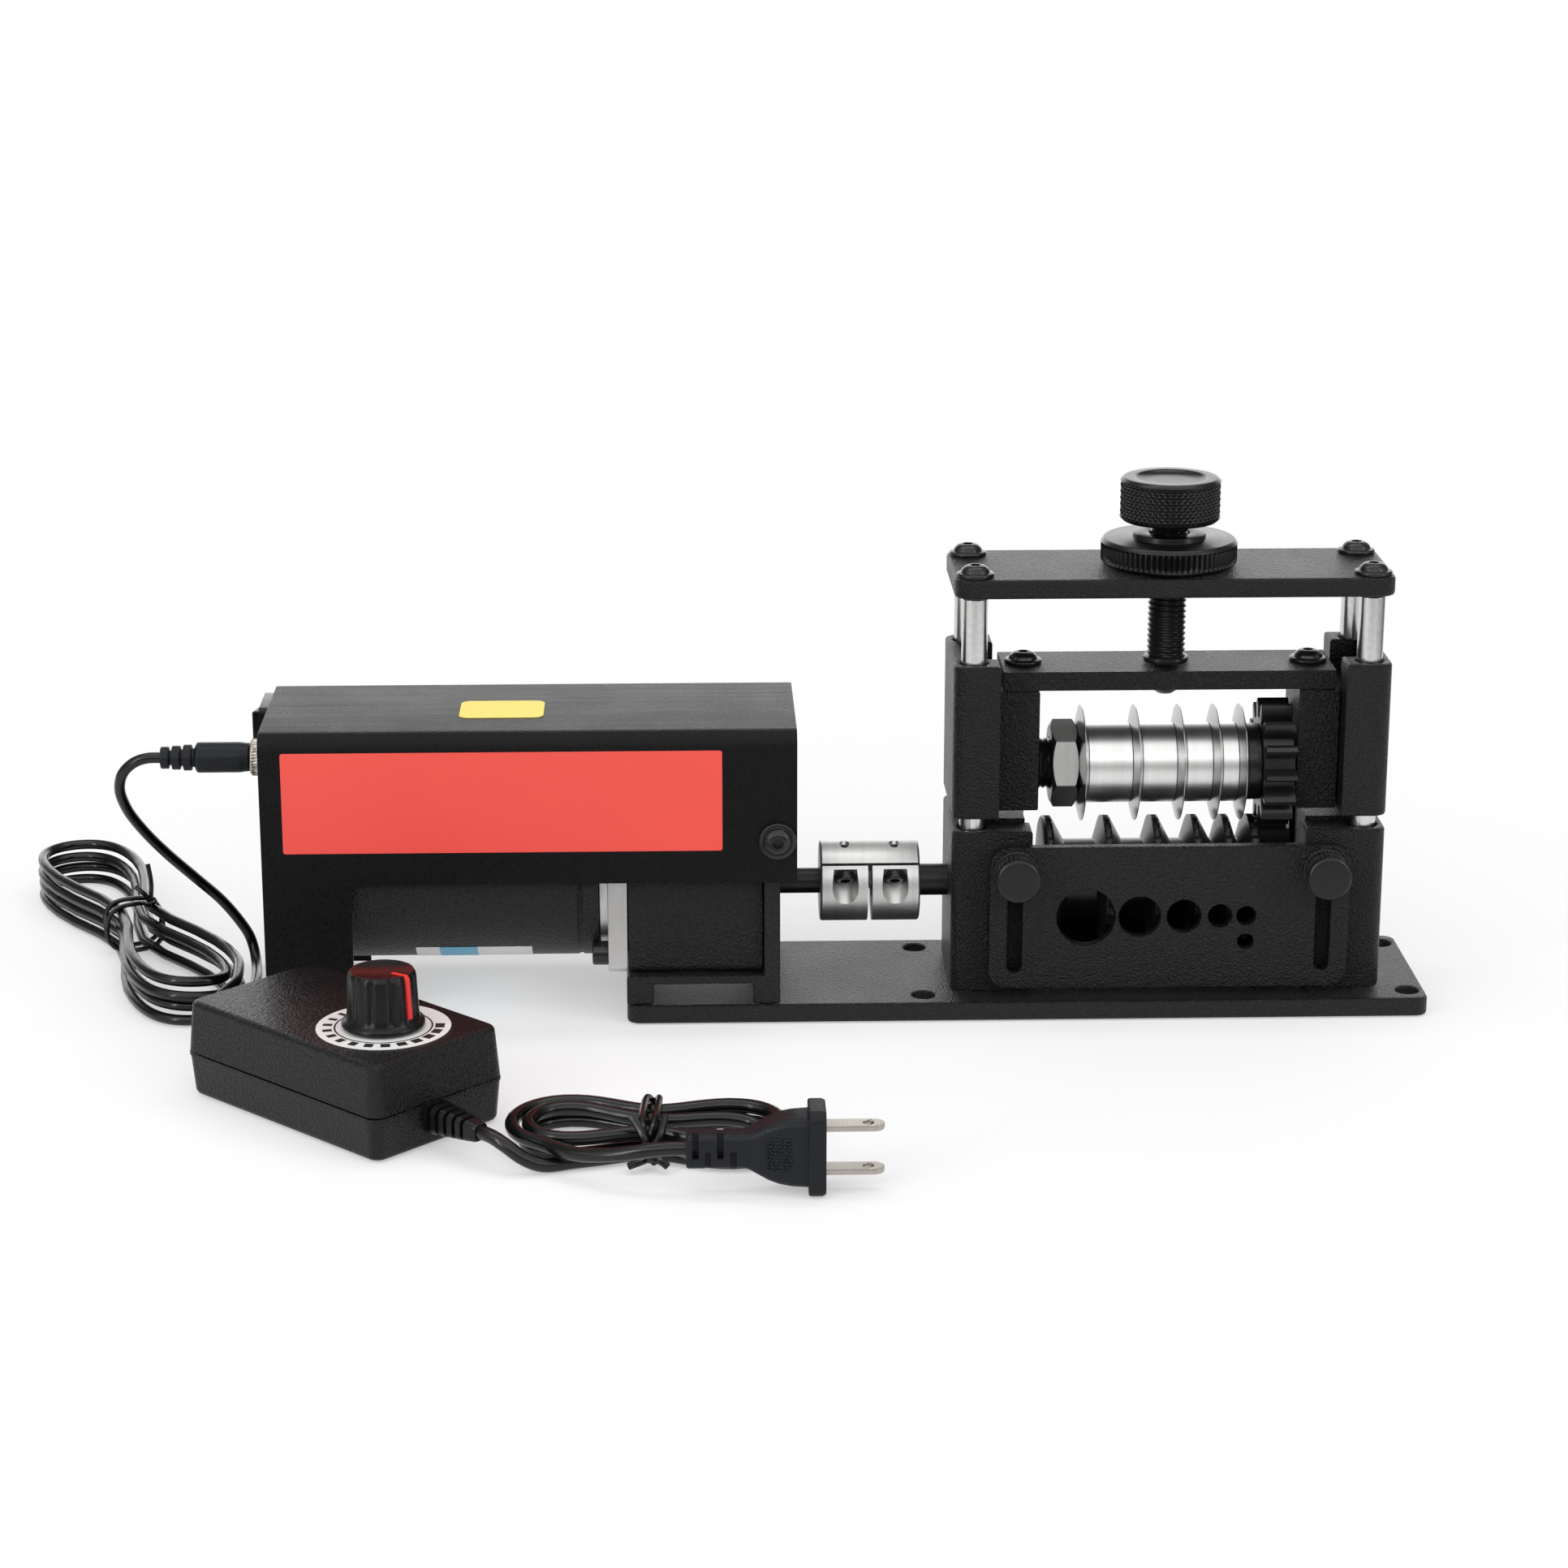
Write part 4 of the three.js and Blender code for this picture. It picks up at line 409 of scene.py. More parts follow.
def eased(outline, ease, closed=False):
    """Rounds the corners of an outline by short curves."""
    points = with_weights(outline)
    made = []
    for i, point in enumerate(points):
        if not closed and i in (0, len(points) - 1):
            made.append(point)
            continue
        before, after = points[i - 1], points[(i + 1) % len(points)]
        here = Vector(point[:2])
        back, ahead = Vector(before[:2]) - here, Vector(after[:2]) - here
        reach = min(ease, back.length * 0.4, ahead.length * 0.4)
        if point[2] or reach < 1e-4 or back.angle(ahead, 0) > math.radians(172):
            made.append(point)
            continue
        first, last = here + back.normalized() * reach, here + ahead.normalized() * reach
        for bend in (0.0, 0.5, 1.0):
            spot = first * (1 - bend) ** 2 + here * 2 * bend * (1 - bend) + last * bend**2
            made.append((spot.x, spot.y, 0))
    return made


def band(radius, low, high, steps):
    """A straight stretch of outline whose points carry the weight of a cut pattern."""
    rise = (high - low) / steps
    return [(radius, low + rise * i, 0.0 if i in (0, steps) else 1.0) for i in range(steps + 1)]


def lathe(outline, sides=96):
    shape = bmesh.new()
    weight = shape.verts.layers.float.new("cut")
    rings = []
    for radius, height, cut in with_weights(outline):
        count = 1 if radius == 0 else sides
        ring = []
        for i in range(count):
            angle = 2 * math.pi * i / sides
            ring.append(shape.verts.new((radius * math.cos(angle), radius * math.sin(angle), height)))
            ring[-1][weight] = cut
        rings.append(ring)
    pairs = list(zip(rings, rings[1:]))
    if outline[0][0] > 0 or outline[-1][0] > 0:
        pairs.append((rings[-1], rings[0]))
    for low, high in pairs:
        for i in range(sides):
            j = (i + 1) % sides
            around = [low[i % len(low)], low[j % len(low)], high[j % len(high)], high[i % len(high)]]
            corners = list(dict.fromkeys(around))
            if len(corners) > 2:
                shape.faces.new(corners)
    return shape


def turned(name, outline, axis, place, finish, body, stands_for=(), ease=0.25, sides=96, **more):
    closed = outline[0][0] > 0
    shape = set_in_place(lathe(eased(outline, ease, closed), sides), axis, place)
    return make_piece(name, shape, finish, body, stands_for, **more)


print("turned shapes have 96 sides unless a pattern needs more")

# %% [markdown]
# ## Flat plates
#
# Plates, channels and gears are outlines with holes that have a thickness. Each loop is drawn in
# rings from one face to the other, pulled in a little at both faces for the broken edge, and the
# two faces are filled between the loops.

# %% Cut a plate
def arc(centre, radius, start, end, steps):
    angles = [math.radians(start + (end - start) * i / steps) for i in range(steps + 1)]
    return [(centre[0] + radius * math.cos(a), centre[1] + radius * math.sin(a)) for a in angles]


def circle(centre, radius, steps=48):
    return arc(centre, radius, 0, 360, steps)[:-1]


def rounded(low, high, corner, steps=8):
    (u0, v0), (u1, v1) = low, high
    loop = []
    for u, v, start in ((u1, v0, -90), (u1, v1, 0), (u0, v1, 90), (u0, v0, 180)):
        inward = (u - corner if u == u1 else u + corner, v - corner if v == v1 else v + corner)
        loop += arc(inward, corner, start, start + 90, steps)
    return loop


def inset(loop, distance):
    """Moves a loop to its left, which is into the plate for an anticlockwise outline."""
    moved = []
    for i, point in enumerate(loop):
        here = Vector(point)
        ahead = (Vector(loop[(i + 1) % len(loop)]) - here).normalized()
        back = (here - Vector(loop[i - 1])).normalized()
        left = Vector((-ahead.y - back.y, ahead.x + back.x))
        side = left.normalized() if left.length > 1e-6 else Vector((-ahead.y, ahead.x))
        moved.append(here + side * distance / max(0.4, side.dot(Vector((-ahead.y, ahead.x)))))
    return moved


def area(loop):
    return sum(a[0] * b[1] - b[0] * a[1] for a, b in zip(loop, loop[1:] + loop[:1])) / 2


def plate(outline, holes, low, high, edge=0.4, steps=2):
    shape = bmesh.new()
    loops = [outline if area(outline) > 0 else outline[::-1]]
    loops += [hole[::-1] if area(hole) > 0 else hole for hole in holes]
    bends = [math.pi / 2 * i / steps for i in range(steps + 1)]
    profile = [(edge * (1 - math.sin(bend)), low + edge * (1 - math.cos(bend))) for bend in bends]
    profile += [(pull, low + high - height) for pull, height in profile[::-1]]
    rims = ([], [])
    for loop in loops:
        rings = [[shape.verts.new((*point, height)) for point in inset(loop, pull)]
                 for pull, height in profile]
        for lower, upper in zip(rings, rings[1:]):
            for i in range(len(loop)):
                j = (i + 1) % len(loop)
                shape.faces.new((lower[i], lower[j], upper[j], upper[i]))
        for rim, ring in zip(rims, (rings[0], rings[-1])):
            rim += [shape.edges.get((ring[i], ring[(i + 1) % len(ring)])) for i in range(len(ring))]
    for rim in rims:
        bmesh.ops.triangle_fill(shape, use_beauty=True, use_dissolve=False, edges=rim)
    bmesh.ops.recalc_face_normals(shape, faces=shape.faces)
    return shape


def cut_plate(name, axis, outline, holes, span, finish, body, stands_for=(), edge=0.4, **more):
    """axis is the way through the plate; the outline is in the next two axes, in cyclic order."""
    shape = set_in_place(plate(outline, holes, *span, edge), axis)
    return make_piece(name, shape, finish, body, stands_for, **more)


print("plates have a broken edge on both faces")

# %% [markdown]
# ## Milled blocks
#
# Some solids already have the right form and only lack their broken edges. A copy of such a solid
# has its loose triangles merged and its flat faces joined, and a Bevel modifier breaks the edges.
# The solid itself is never touched.

# %% Refine a solid
def break_edges(piece, width, angle=40, segments=2):
    """A bevel, width in millimetres, on every edge that turns by more than the angle."""
    bevel = piece.modifiers.new("broken edges", "BEVEL")
    bevel.width, bevel.segments = width * MM, segments
    bevel.limit_method, bevel.angle_limit = "ANGLE", math.radians(angle)
    bevel.harden_normals = True
    return bevel


def refined(node, finish, body, edge, segments=2):
    shape = bmesh.new()
    shape.from_mesh(nodes[node].data)
    bmesh.ops.remove_doubles(shape, verts=shape.verts, dist=0.00001)
    bmesh.ops.dissolve_limit(
        shape, angle_limit=math.radians(0.5), verts=shape.verts, edges=shape.edges,
        delimit={"NORMAL"})
    name = node + "_fine"
    piece = dress(name, mesh_from(name, shape), finish, body, (node,), 35, False)
    break_edges(piece, edge, 35, segments)


print("refined copies stand for their solids")

# %% [markdown]
# ## The cords come first
#
# The machine's cord runs from the jack down to a hank on the bench and on into the adapter; the
# mains cord runs from the adapter through a small hank to the plug. Each is one line: the free
# stretches pass through listed points, and the hanks follow the rule of a long loop that is
# drawn in at the waist and wound in layers. The line is the same one that the solids follow.

# %% Lay the cord lines
def through(points, spacing):
    """A smooth line through points, with centripetal spacing of its speed."""
    points = [Vector(point) for point in points]
    first = points[0] * 2 - points[1]
    last = points[-1] * 2 - points[-2]
    whole = [first, *points, last]
    line = []
    for i in range(1, len(whole) - 2):
        p0, p1, p2, p3 = whole[i - 1 : i + 3]
        d1, d2, d3 = [max(1e-4, (b - a).length ** 0.5) for a, b in ((p0, p1), (p1, p2), (p2, p3))]
        t1 = ((p1 - p0) / d1 - (p2 - p0) / (d1 + d2) + (p2 - p1) / d2) * d2
        t2 = ((p2 - p1) / d2 - (p3 - p1) / (d2 + d3) + (p3 - p2) / d3) * d2
        steps = max(2, round((p2 - p1).length / spacing))
        line += interpolate_bezier(p1, p1 + t1 / 3, p2 - t2 / 3, p2, steps + 1)[:-1]
    return [*line, points[-1]]


def wind_hank(diameter, centre, heading, half_length, half_width, fullness, draw, waist, pitch,
              turns, layers, start, direction, steps=64):
    """The points of a hank, by turns and layers about a loop with a drawn-in waist."""
    per_layer = turns / layers
    turn_matrix = Matrix.Rotation(math.radians(heading), 2)

    def loop(angle):
        part = math.tanh(fullness * math.cos(angle)) / math.tanh(fullness)
        along = (half_length - half_width) * part + half_width * math.cos(angle)
        narrow = math.exp(-((along / waist) ** 2))
        return Vector((along, half_width * (1 - draw * narrow) * math.sin(angle)))

    points = []
    count = round(turns * steps)
    for i in range(count + 1):
        turn = i / count * turns
        angle = math.radians(start) + direction * turn * 2 * math.pi
        spread = abs(1 - (turn / per_layer) % 2) * per_layer * pitch
        climb = 0
        for layer in range(1, layers):
            part = min(1, max(0, (turn - layer * per_layer + 0.25) / 0.5))
            climb += part * part * (3 - 2 * part)
        slope = loop(angle + 0.001) - loop(angle - 0.001)
        outward = Vector((slope.y, -slope.x)).normalized() * spread
        flat = turn_matrix @ (loop(angle) + outward)
        height = diameter / 2 + climb * pitch
        points.append(Vector((centre[0] + flat.x, centre[1] + flat.y, height)))
    return points


ADAPTER_X, ADAPTER_Y, ADAPTER_TURN = -206.7, -97.7, math.radians(-44.6)
ADAPTER_HALF = 42.5  # half its length
RELIEF_LENGTH, RELIEF_Z = 20, 9.4
MAINS_RELIEF_Y, SUPPLY_RELIEF_Y = -3.4, 6  # beside the adapter's middle line


def relief_mouth(end, offset, away):
    """A point in front of one of the adapter's strain reliefs; end is 1 or -1."""
    along = end * (ADAPTER_HALF + RELIEF_LENGTH + away)
    cos, sin = math.cos(ADAPTER_TURN), math.sin(ADAPTER_TURN)
    x = ADAPTER_X + along * cos - offset * sin
    y = ADAPTER_Y + along * sin + offset * cos
    return Vector((x, y, RELIEF_Z))


def towards_hank(end, following, diameter):
    outward = (end - following).normalized()
    return [end + outward * away for away in (0.3, diameter + 0.3)]


def cord_line(lead, hank, tail, diameter):
    """A line through a lead, a hank and a tail, both of which meet the hank straight on."""
    into = towards_hank(hank[0], hank[1], diameter)[::-1]
    out = towards_hank(hank[-1], hank[-2], diameter)
    return through([*lead, *into], LINE_STEP) + hank + through([*out, *tail], LINE_STEP)


def line_length(line):
    return sum((b - a).length for a, b in zip(line, line[1:]))


LINE_STEP = 1.6  # from point to point along the free stretches
MACHINE_CORD, MAINS_CORD = 3.4, 4.2  # diameters
MACHINE_WAIST, MACHINE_HEADING = (-287.5, 46), -66.4
MAINS_WAIST, MAINS_HEADING = (-117, -132), -4
PLUG_MOUTH = (-267.3, -16, 83)
machine_lead = [
    PLUG_MOUTH, (-271, -16, 83), (-275.2, -15.8, 81.7), (-279.2, -14.4, 77.9), (-281, -11.6, 72),
    (-279.8, -7.2, 64.2), (-275.8, -0.8, 55), (-270, 7, 45), (-262.6, 15.6, 34.2),
    (-255.4, 23.9, 23.6), (-250.2, 28.2, 14.6), (-248, 29.5, 10), (-246.6, 28.4, 5.9),
    (-245.7, 25.2, 3), (-245, 20.6, 1.8), (-244.2, 12.6, 1.7), (-244.1, 3.4, 1.7)]
machine_hank = wind_hank(
    MACHINE_CORD, MACHINE_WAIST, MACHINE_HEADING, half_length=76, half_width=14.5, fullness=2.5,
    draw=0.82, waist=34, pitch=4, turns=4, layers=4, start=45, direction=-1)
machine_tail = [
    (-246.2, -26.6, 13.4), (-248.7, -32.2, 12.5), (-250.9, -37, 11.5), (-251.7, -42.1, 10.3),
    relief_mouth(-1, SUPPLY_RELIEF_Y, MACHINE_CORD + 0.3), relief_mouth(-1, SUPPLY_RELIEF_Y, -2)]
machine_line = cord_line(machine_lead, machine_hank, machine_tail, MACHINE_CORD)

mains_lead = [
    relief_mouth(1, MAINS_RELIEF_Y, -2), relief_mouth(1, MAINS_RELIEF_Y, MAINS_CORD + 0.3),
    (-157.6, -149.9, 7.8), (-152.4, -151.4, 4.4), (-147.2, -151, 2.3)]
mains_hank = wind_hank(
    MAINS_CORD, MAINS_WAIST, MAINS_HEADING, half_length=33, half_width=19, fullness=1,
    draw=0.79, waist=23, pitch=4.8, turns=2.93, layers=2, start=240, direction=1)
mains_tail = [
    (-138.6, -155.4, 7.4), (-131.6, -159.8, 8.6), (-124, -163.1, 10.3), (-116.6, -165, 12),
    (-111.8, -165.3, 12.5), (-105.5, -165.3, 12.5)]
mains_line = cord_line(mains_lead, mains_hank, mains_tail, MAINS_CORD)
print("machine cord", round(line_length(machine_line)), "mm, mains cord",
      round(line_length(mains_line)), "mm")

# %% [markdown]
# ## A jacket along a line
#
# A tree of Geometry Nodes turns any line into a jacket: Curve to Mesh sweeps a circle along it and
# fills the ends. The circle's radius is a named input, so the ties that hold the hanks are made by
# the same tree. The result becomes a plain mesh before it is made into a piece.

# %% Build the jacket tree
def start_tree(name, inputs):
    """A Geometry Nodes tree with named inputs, and the wrapped outputs of its input node."""
    data = bpy.data.node_groups.new(name, "GeometryNodeTree")
    data.interface.new_socket("Geometry", in_out="INPUT", socket_type="NodeSocketGeometry")
    for label, kind in inputs.items():
        data.interface.new_socket(label, in_out="INPUT", socket_type="NodeSocket" + kind)
    data.interface.new_socket("Geometry", in_out="OUTPUT", socket_type="NodeSocketGeometry")
    tree = Tree(data)
    entry = data.nodes.new("NodeGroupInput")
    wrapped = {socket.name: Value(tree, socket) for socket in entry.outputs if socket.name}
    return tree, wrapped


def end_tree(tree, geometry, finish):
    real = tree.node("GeometryNodeRealizeInstances", values={0: geometry})
    painted = tree.node("GeometryNodeSetMaterial", values={"Geometry": real, "Material": finish})
    out = tree.data.nodes.new("NodeGroupOutput")
    tree.data.links.new(painted.socket, out.inputs[0])
    return tree.data


def grown(carrier, tree, **inputs):
    """Runs a tree on an object and returns the plain mesh; the carrier object is removed."""
    modifier = carrier.modifiers.new("nodes", "NODES")
    modifier.node_group = tree
    for item in tree.interface.items_tree:
        if item.item_type == "SOCKET" and item.in_out == "INPUT" and item.name in inputs:
            modifier[item.identifier] = inputs[item.name]
    depsgraph = bpy.context.evaluated_depsgraph_get()
    mesh = bpy.data.meshes.new_from_object(
        carrier.evaluated_get(depsgraph), preserve_all_data_layers=True, depsgraph=depsgraph)
    bpy.data.objects.remove(carrier)
    return mesh


tree, given = start_tree("jacket", {"Radius": "Float", "Sides": "Int", "Finish": "Material"})
ring = tree.node("GeometryNodeCurvePrimitiveCircle", values={
    "Resolution": given["Sides"], "Radius": given["Radius"]})
swept = tree.node("GeometryNodeCurveToMesh", values={
    "Curve": given["Geometry"], "Profile Curve": ring, "Fill Caps": True})
jacket_tree = end_tree(tree, swept, given["Finish"])


def jacket(name, line, radius, finish, sides=14, closed=False):
    curve = bpy.data.curves.new(name + "_line", "CURVE")
    curve.dimensions = "3D"
    spline = curve.splines.new("POLY")
    spline.points.add(len(line) - 1)
    for point, place in zip(spline.points, line):
        point.co = (*(Vector(place) * MM), 1)
    spline.use_cyclic_u = closed
    carrier = new_object("carrier", curve)
    return grown(carrier, jacket_tree, Radius=radius * MM, Sides=sides, Finish=finish)


print("jacket tree has", len(jacket_tree.nodes), "nodes")

# %% [markdown]
# ## Ties round the hanks
#
# Each hank is held by a short twisted tie whose two ends stick out. A tie is a closed loop round
# the bundle at its waist and two short strands twisted about each other beside it.

# %% Make the cords and their ties
def squarish(part):
    """Takes a sine or cosine towards the corners, so that a loop hugs a square bundle."""
    return math.copysign(abs(part) ** 0.7, part)


def tie_loop(centre, heading, half_width, height, slant, wire):
    """A loop round the waist: it lies across the hank, leans a little, and hugs the bundle."""
    across = Vector((-math.sin(heading), math.cos(heading), 0))
    along = Vector((math.cos(heading), math.sin(heading), 0))
    middle = Vector((*centre, height / 2 + wire))
    loop = []
    for i in range(40):
        angle = 2 * math.pi * i / 40
        side = squarish(math.cos(angle)) * half_width
        rise = squarish(math.sin(angle)) * height / 2
        loop.append(middle + across * side + Vector((0, 0, rise)) + along * slant * rise)
    return loop


def make_tie(name, centre, heading, half_width, height, knot, ends, wire=0.8):
    shape = bmesh.new()
    for wider, slant in ((0, 0.35), (0.4, -0.4)):
        loop = tie_loop(centre, math.radians(heading), half_width + wider, height, slant, wire)
        shape.from_mesh(jacket(name, loop, wire, cord_jacket, 8, True))
    for end in ends:
        middle = (Vector(knot) + Vector(end)) / 2 + Vector((0.8, -1, 0.6))
        shape.from_mesh(jacket(name, through([knot, middle, end], 1.0), wire, cord_jacket, 8))
    twist = [Vector(knot) + Vector((1.5 * math.cos(a), 1.1 * math.sin(a), 0.35 * (a - 4)))
             for a in range(9)]
    shape.from_mesh(jacket(name, through(twist, 0.8), wire, cord_jacket, 8))
    return dress(name, mesh_from(name, shape), cord_jacket, "frame", weighted=False)


machine_tie = make_tie(
    "machine_cord_tie", MACHINE_WAIST, MACHINE_HEADING, 9.1, 15.8, (-281.5, 43.5, 16.6),
    [(-281.9, 44, 30), (-286.2, 43, 22.5)])
mains_tie = make_tie(
    "mains_cord_tie", MAINS_WAIST, MAINS_HEADING, 13.4, 10.6, (-117.5, -149, 3.2),
    [(-122.4, -144, 13.8), (-113, -144, 14), (-123.4, -151, 1.6), (-112.4, -151.6, 1.6)], 1.1)


def make_cord(name, line, diameter, stands_for):
    mesh = jacket(name, line, diameter / 2, cord_jacket)
    return dress(name, mesh, cord_jacket, "frame", stands_for, weighted=False)


machine_cord = make_cord(
    "machine_cord", machine_line, MACHINE_CORD,
    ["machine_cord_lead", "machine_cord_hank", "machine_cord_tail"])
mains_cord = make_cord(
    "mains_cord", mains_line, MAINS_CORD, ["mains_cord_lead", "mains_cord_hank", "mains_cord_tail"])
print("cords:", len(machine_cord.data.polygons), "and", len(mains_cord.data.polygons), "faces")

# %% [markdown]
# ## Plates of the frame and the head
#
# The base plate, the top plate and the guide plate are flat bar with rounded corners and drilled
# holes. The head's sides are channels: the outline of a C, with two bores for the guide rods.

# %% Cut the plates
ROD_X, ROD_Y = 61, 15  # the guide rods, from the head's middle
SLOT_X = 48  # the guide plate's slots and thumb screws, from the head's middle
BLADES = [HEAD - 25.9]
for gap in (16.8, 13.8, 11.2, 8.2):
    BLADES.append(BLADES[-1] + gap)
WIRE_HOLES = list(zip(BLADES, (18.2, 13, 10.6, 7.4, 6)))  # places and diameters


def powder_plate(node, axis, outline, holes, span, body, edge):
    """A powder coated plate that stands for a node of the same name."""
    cut_plate(node + "_fine", axis, outline, holes, span, powder_coat, body, [node], edge,
              slot="powder_coat")


bench_holes = [circle((HEAD + side * 76, across * 23), 3.5, 40) for side, across in CORNERS]
powder_plate("base_plate", "z", rounded((-125, -31), (125, 31), 4), bench_holes, (0, 6), "frame", 0.8)
powder_plate("top_plate", "z", rounded((-24, -21.5), (111, 21.5), 5), [circle((HEAD, 0), 6.3)],
             (132.2, 138.2), "frame", 0.9)

holes = [circle((31.8, x), size / 2, 56) for x, size in WIRE_HOLES]
holes.append(circle((23.4, BLADES[-1]), 2.5, 32))
for side, hand in HANDS:
    x = HEAD + side * SLOT_X
    holes.append(arc((47.1, x), 2.3, -90, 90, 12) + arc((16.1, x), 2.3, 90, 270, 12))
powder_plate("guide_plate", "y", rounded((8.5, -12.5), (54.5, 99.5), 6), holes, (-25.8, -21.8),
             "guide_plate", 0.5)


def channel_outline(side, reach, half=21.5, wall=4, arm=11, corner=4):
    """A C that opens towards the middle of the head, seen from above."""
    back = half - arm
    loop = arc((corner, -half + corner), corner, 180, 270, 8)
    loop += [(reach, -half), (reach, -back), (wall, -back), (wall, back), (reach, back), (reach, half)]
    loop += arc((corner, half - corner), corner, 90, 180, 8)
    outer = HEAD + side * 67.5
    return [(outer - side * u, v) for u, v in loop]


for side, hand in HANDS:
    bores = [circle((HEAD + side * ROD_X, across * ROD_Y), 4.3, 40) for across in (-1, 1)]
    for node, body, reach, span in (
        ("fixed_side_", "frame", 25, (6.3, 58.4)),
        ("carriage_side_", "carriage", 14.3, (62.4, 111)),
    ):
        powder_plate(node + hand, "z", channel_outline(side, reach), bores, span, body, 0.8)

# %% [markdown]
# ## Blocks, bracket, gearbox and cover
#
# These solids have the right form already, so refined copies with broken edges stand for them.
# The cover is one bent sheet, and its smooth bends come from shading across the facets.

# %% Refine the blocks
for node, body, edge in (
    ("motor_bracket", "frame", 0.5),
    ("gearbox", "frame", 0.6),
    ("roller_bearing_block_left", "frame", 0.4),
    ("roller_bearing_block_right", "frame", 0.4),
    ("blade_bearing_block_left", "carriage", 0.5),
    ("blade_bearing_block_right", "carriage", 0.5),
    ("carriage_crossbar", "carriage", 0.8),
    ("rear_stay", "frame", 0.5),
):
    refined(node, powder_coat, body, edge)
refined("motor_cover", cover_coat, "frame", 0.35)
refined("gearbox_end_plate", aluminium, "frame", 0.4)
refined("switch_frame", knob_plastic, "frame", 0.4, 3)
refined("switch_rocker", knob_plastic, "switch_rocker", 0.5, 3)

# %% [markdown]
# ## Shafts, rods and the motor
#
# Ground rods and shafts are simple turned outlines with a chamfer at the ends. The motor is a
# drawn steel can, and its end plate carries four cap screws.

# %% Turn the shafts and rods
def shaft(node, axis, radius, span, place, finish, slot, body, sides=96, chamfer=0.6):
    low, high = span
    outline = [(0, low), (radius - chamfer, low), (radius, low + chamfer),
               (radius, high - chamfer), (radius - chamfer, high), (0, high)]
    turned(node + "_fine", outline, axis, place, finish, body, [node], 0.15, sides, slot=slot)


for side, hand in HANDS:
    for across, where in ((-1, "front"), (1, "rear")):
        place = (HEAD + side * ROD_X, across * ROD_Y, 0)
        shaft(f"guide_rod_{where}_{hand}", "z", 4, (6.3, 131.9), place, rod_steel, "bright_steel",
              "frame", 64)
for node, radius, span in (
    ("output_shaft", 4, (-98.8, -49.9)),
    ("roller_shaft", 5, (-47.5, 106.4)),
):
    shaft(node, "x", radius, span, ROLLER_AXIS, roller_oxide, "black_oxide", "roller")
motor_outline = [(0, -223.5), (10.6, -223.5), (11, -223.1), (11, -220.5), (28, -220.5), (30, -218.5),
                 (30, -140), (29.6, -139.6), (29.6, -138.8), (30, -138.4), (30, -133.5), (0, -133.5)]
turned("motor_can", motor_outline, "x", MOTOR_AXIS, powder_coat, "frame", ["motor"], 0.5, 128,
       slot="powder_coat")
print("guide rods are 8 mm, the motor can is 60 mm")

# %% [markdown]
# ## Blades, spacers and the grooved roller
#
# Each blade is a disc ground to an edge from both sides, and polished spacers set the distances.
# The roller below has a groove under every blade, and the crests between the grooves are fluted
# to grip the wire. All of them are turned outlines; the crests get their flutes in the next step.

# %% Turn the blades and spacers
BORE = 8.3  # radius of the bores on the blade shaft
ROLLER_END = 73.2
blade_outline = [(BORE, -1.5), (12.75, -1.5), (18.25, -0.1), (18.25, 0.1), (12.75, 1.5), (BORE, 1.5)]
for i, x in enumerate(BLADES):
    turned(f"blade_{i + 1}_ground", blade_outline, "x", (x, 0, BLADE_Z), blade_steel,
           "blade_assembly", [f"blade_{i + 1}"], 0.04, 128, sharp=12, weighted=False,
           slot="bright_steel")
for i, (left, right) in enumerate(zip(BLADES, BLADES[1:])):
    low, high = left + 1.6, right - 1.6
    turned(f"blade_spacer_{i + 1}_fine", [(BORE, low), (12.5, low), (12.5, high), (BORE, high)], "x",
           BLADE_AXIS, spacer_steel, "blade_assembly", [f"blade_spacer_{i + 1}"], 0.3,
           slot="bright_steel")
turned("blade_gear_hub", [(BORE, 69.2), (12, 69.2), (12, ROLLER_END), (BORE, ROLLER_END)], "x",
       BLADE_AXIS, black_oxide, "blade_assembly", [], 0.3, slot="black_oxide")
print("blades at X =", [round(x, 1) for x in BLADES])

# %% [markdown]
# ## Patterns that are cut into a turned piece
#
# A thread, a knurl and a row of flutes follow the same rule: the surface sinks in waves that run
# round the axis and may climb along it. One wave that climbs once per turn is a thread; many
# waves that don't climb are flutes; two sets that climb opposite ways cross into a diamond knurl.
# One tree cuts them all, where the outline's weight says so.

# %% Build the pattern tree
tree, given = start_tree("cut_pattern", {
    "Ridges": "Float", "Climb": "Float", "Crossed": "Float", "Depth": "Float",
    "Finish": "Material"})
x, y, z = tree.parts(tree.node("GeometryNodeInputPosition"))
turns = tree.sum("ARCTAN2", y, x) / (2 * math.pi)


def wave(climb):
    """1 in the bottom of a groove and 0 on a ridge, in straight slopes."""
    return abs(tree.sum("FRACT", given["Ridges"] * turns + climb * z + 64) * 2 - 1)


leaning = wave(given["Climb"])
other = wave(given["Climb"] * (1 - given["Crossed"] * 2))
groove = tree.sum("MAXIMUM", leaning, other)
weight = tree.node("GeometryNodeInputNamedAttribute", {"data_type": "FLOAT"}, {"Name": "cut"})
radial = tree.node("ShaderNodeCombineXYZ", values={"X": x, "Y": y})
outward = tree.node("ShaderNodeVectorMath", {"operation": "NORMALIZE"}, {0: radial})
sink = given["Depth"] * -1 * (weight * groove)
offset = tree.node("ShaderNodeVectorMath", {"operation": "SCALE"}, {0: outward, "Scale": sink})
moved = tree.node("GeometryNodeSetPosition", values={
    "Geometry": given["Geometry"], "Offset": offset})
pattern_tree = end_tree(tree, moved, given["Finish"])


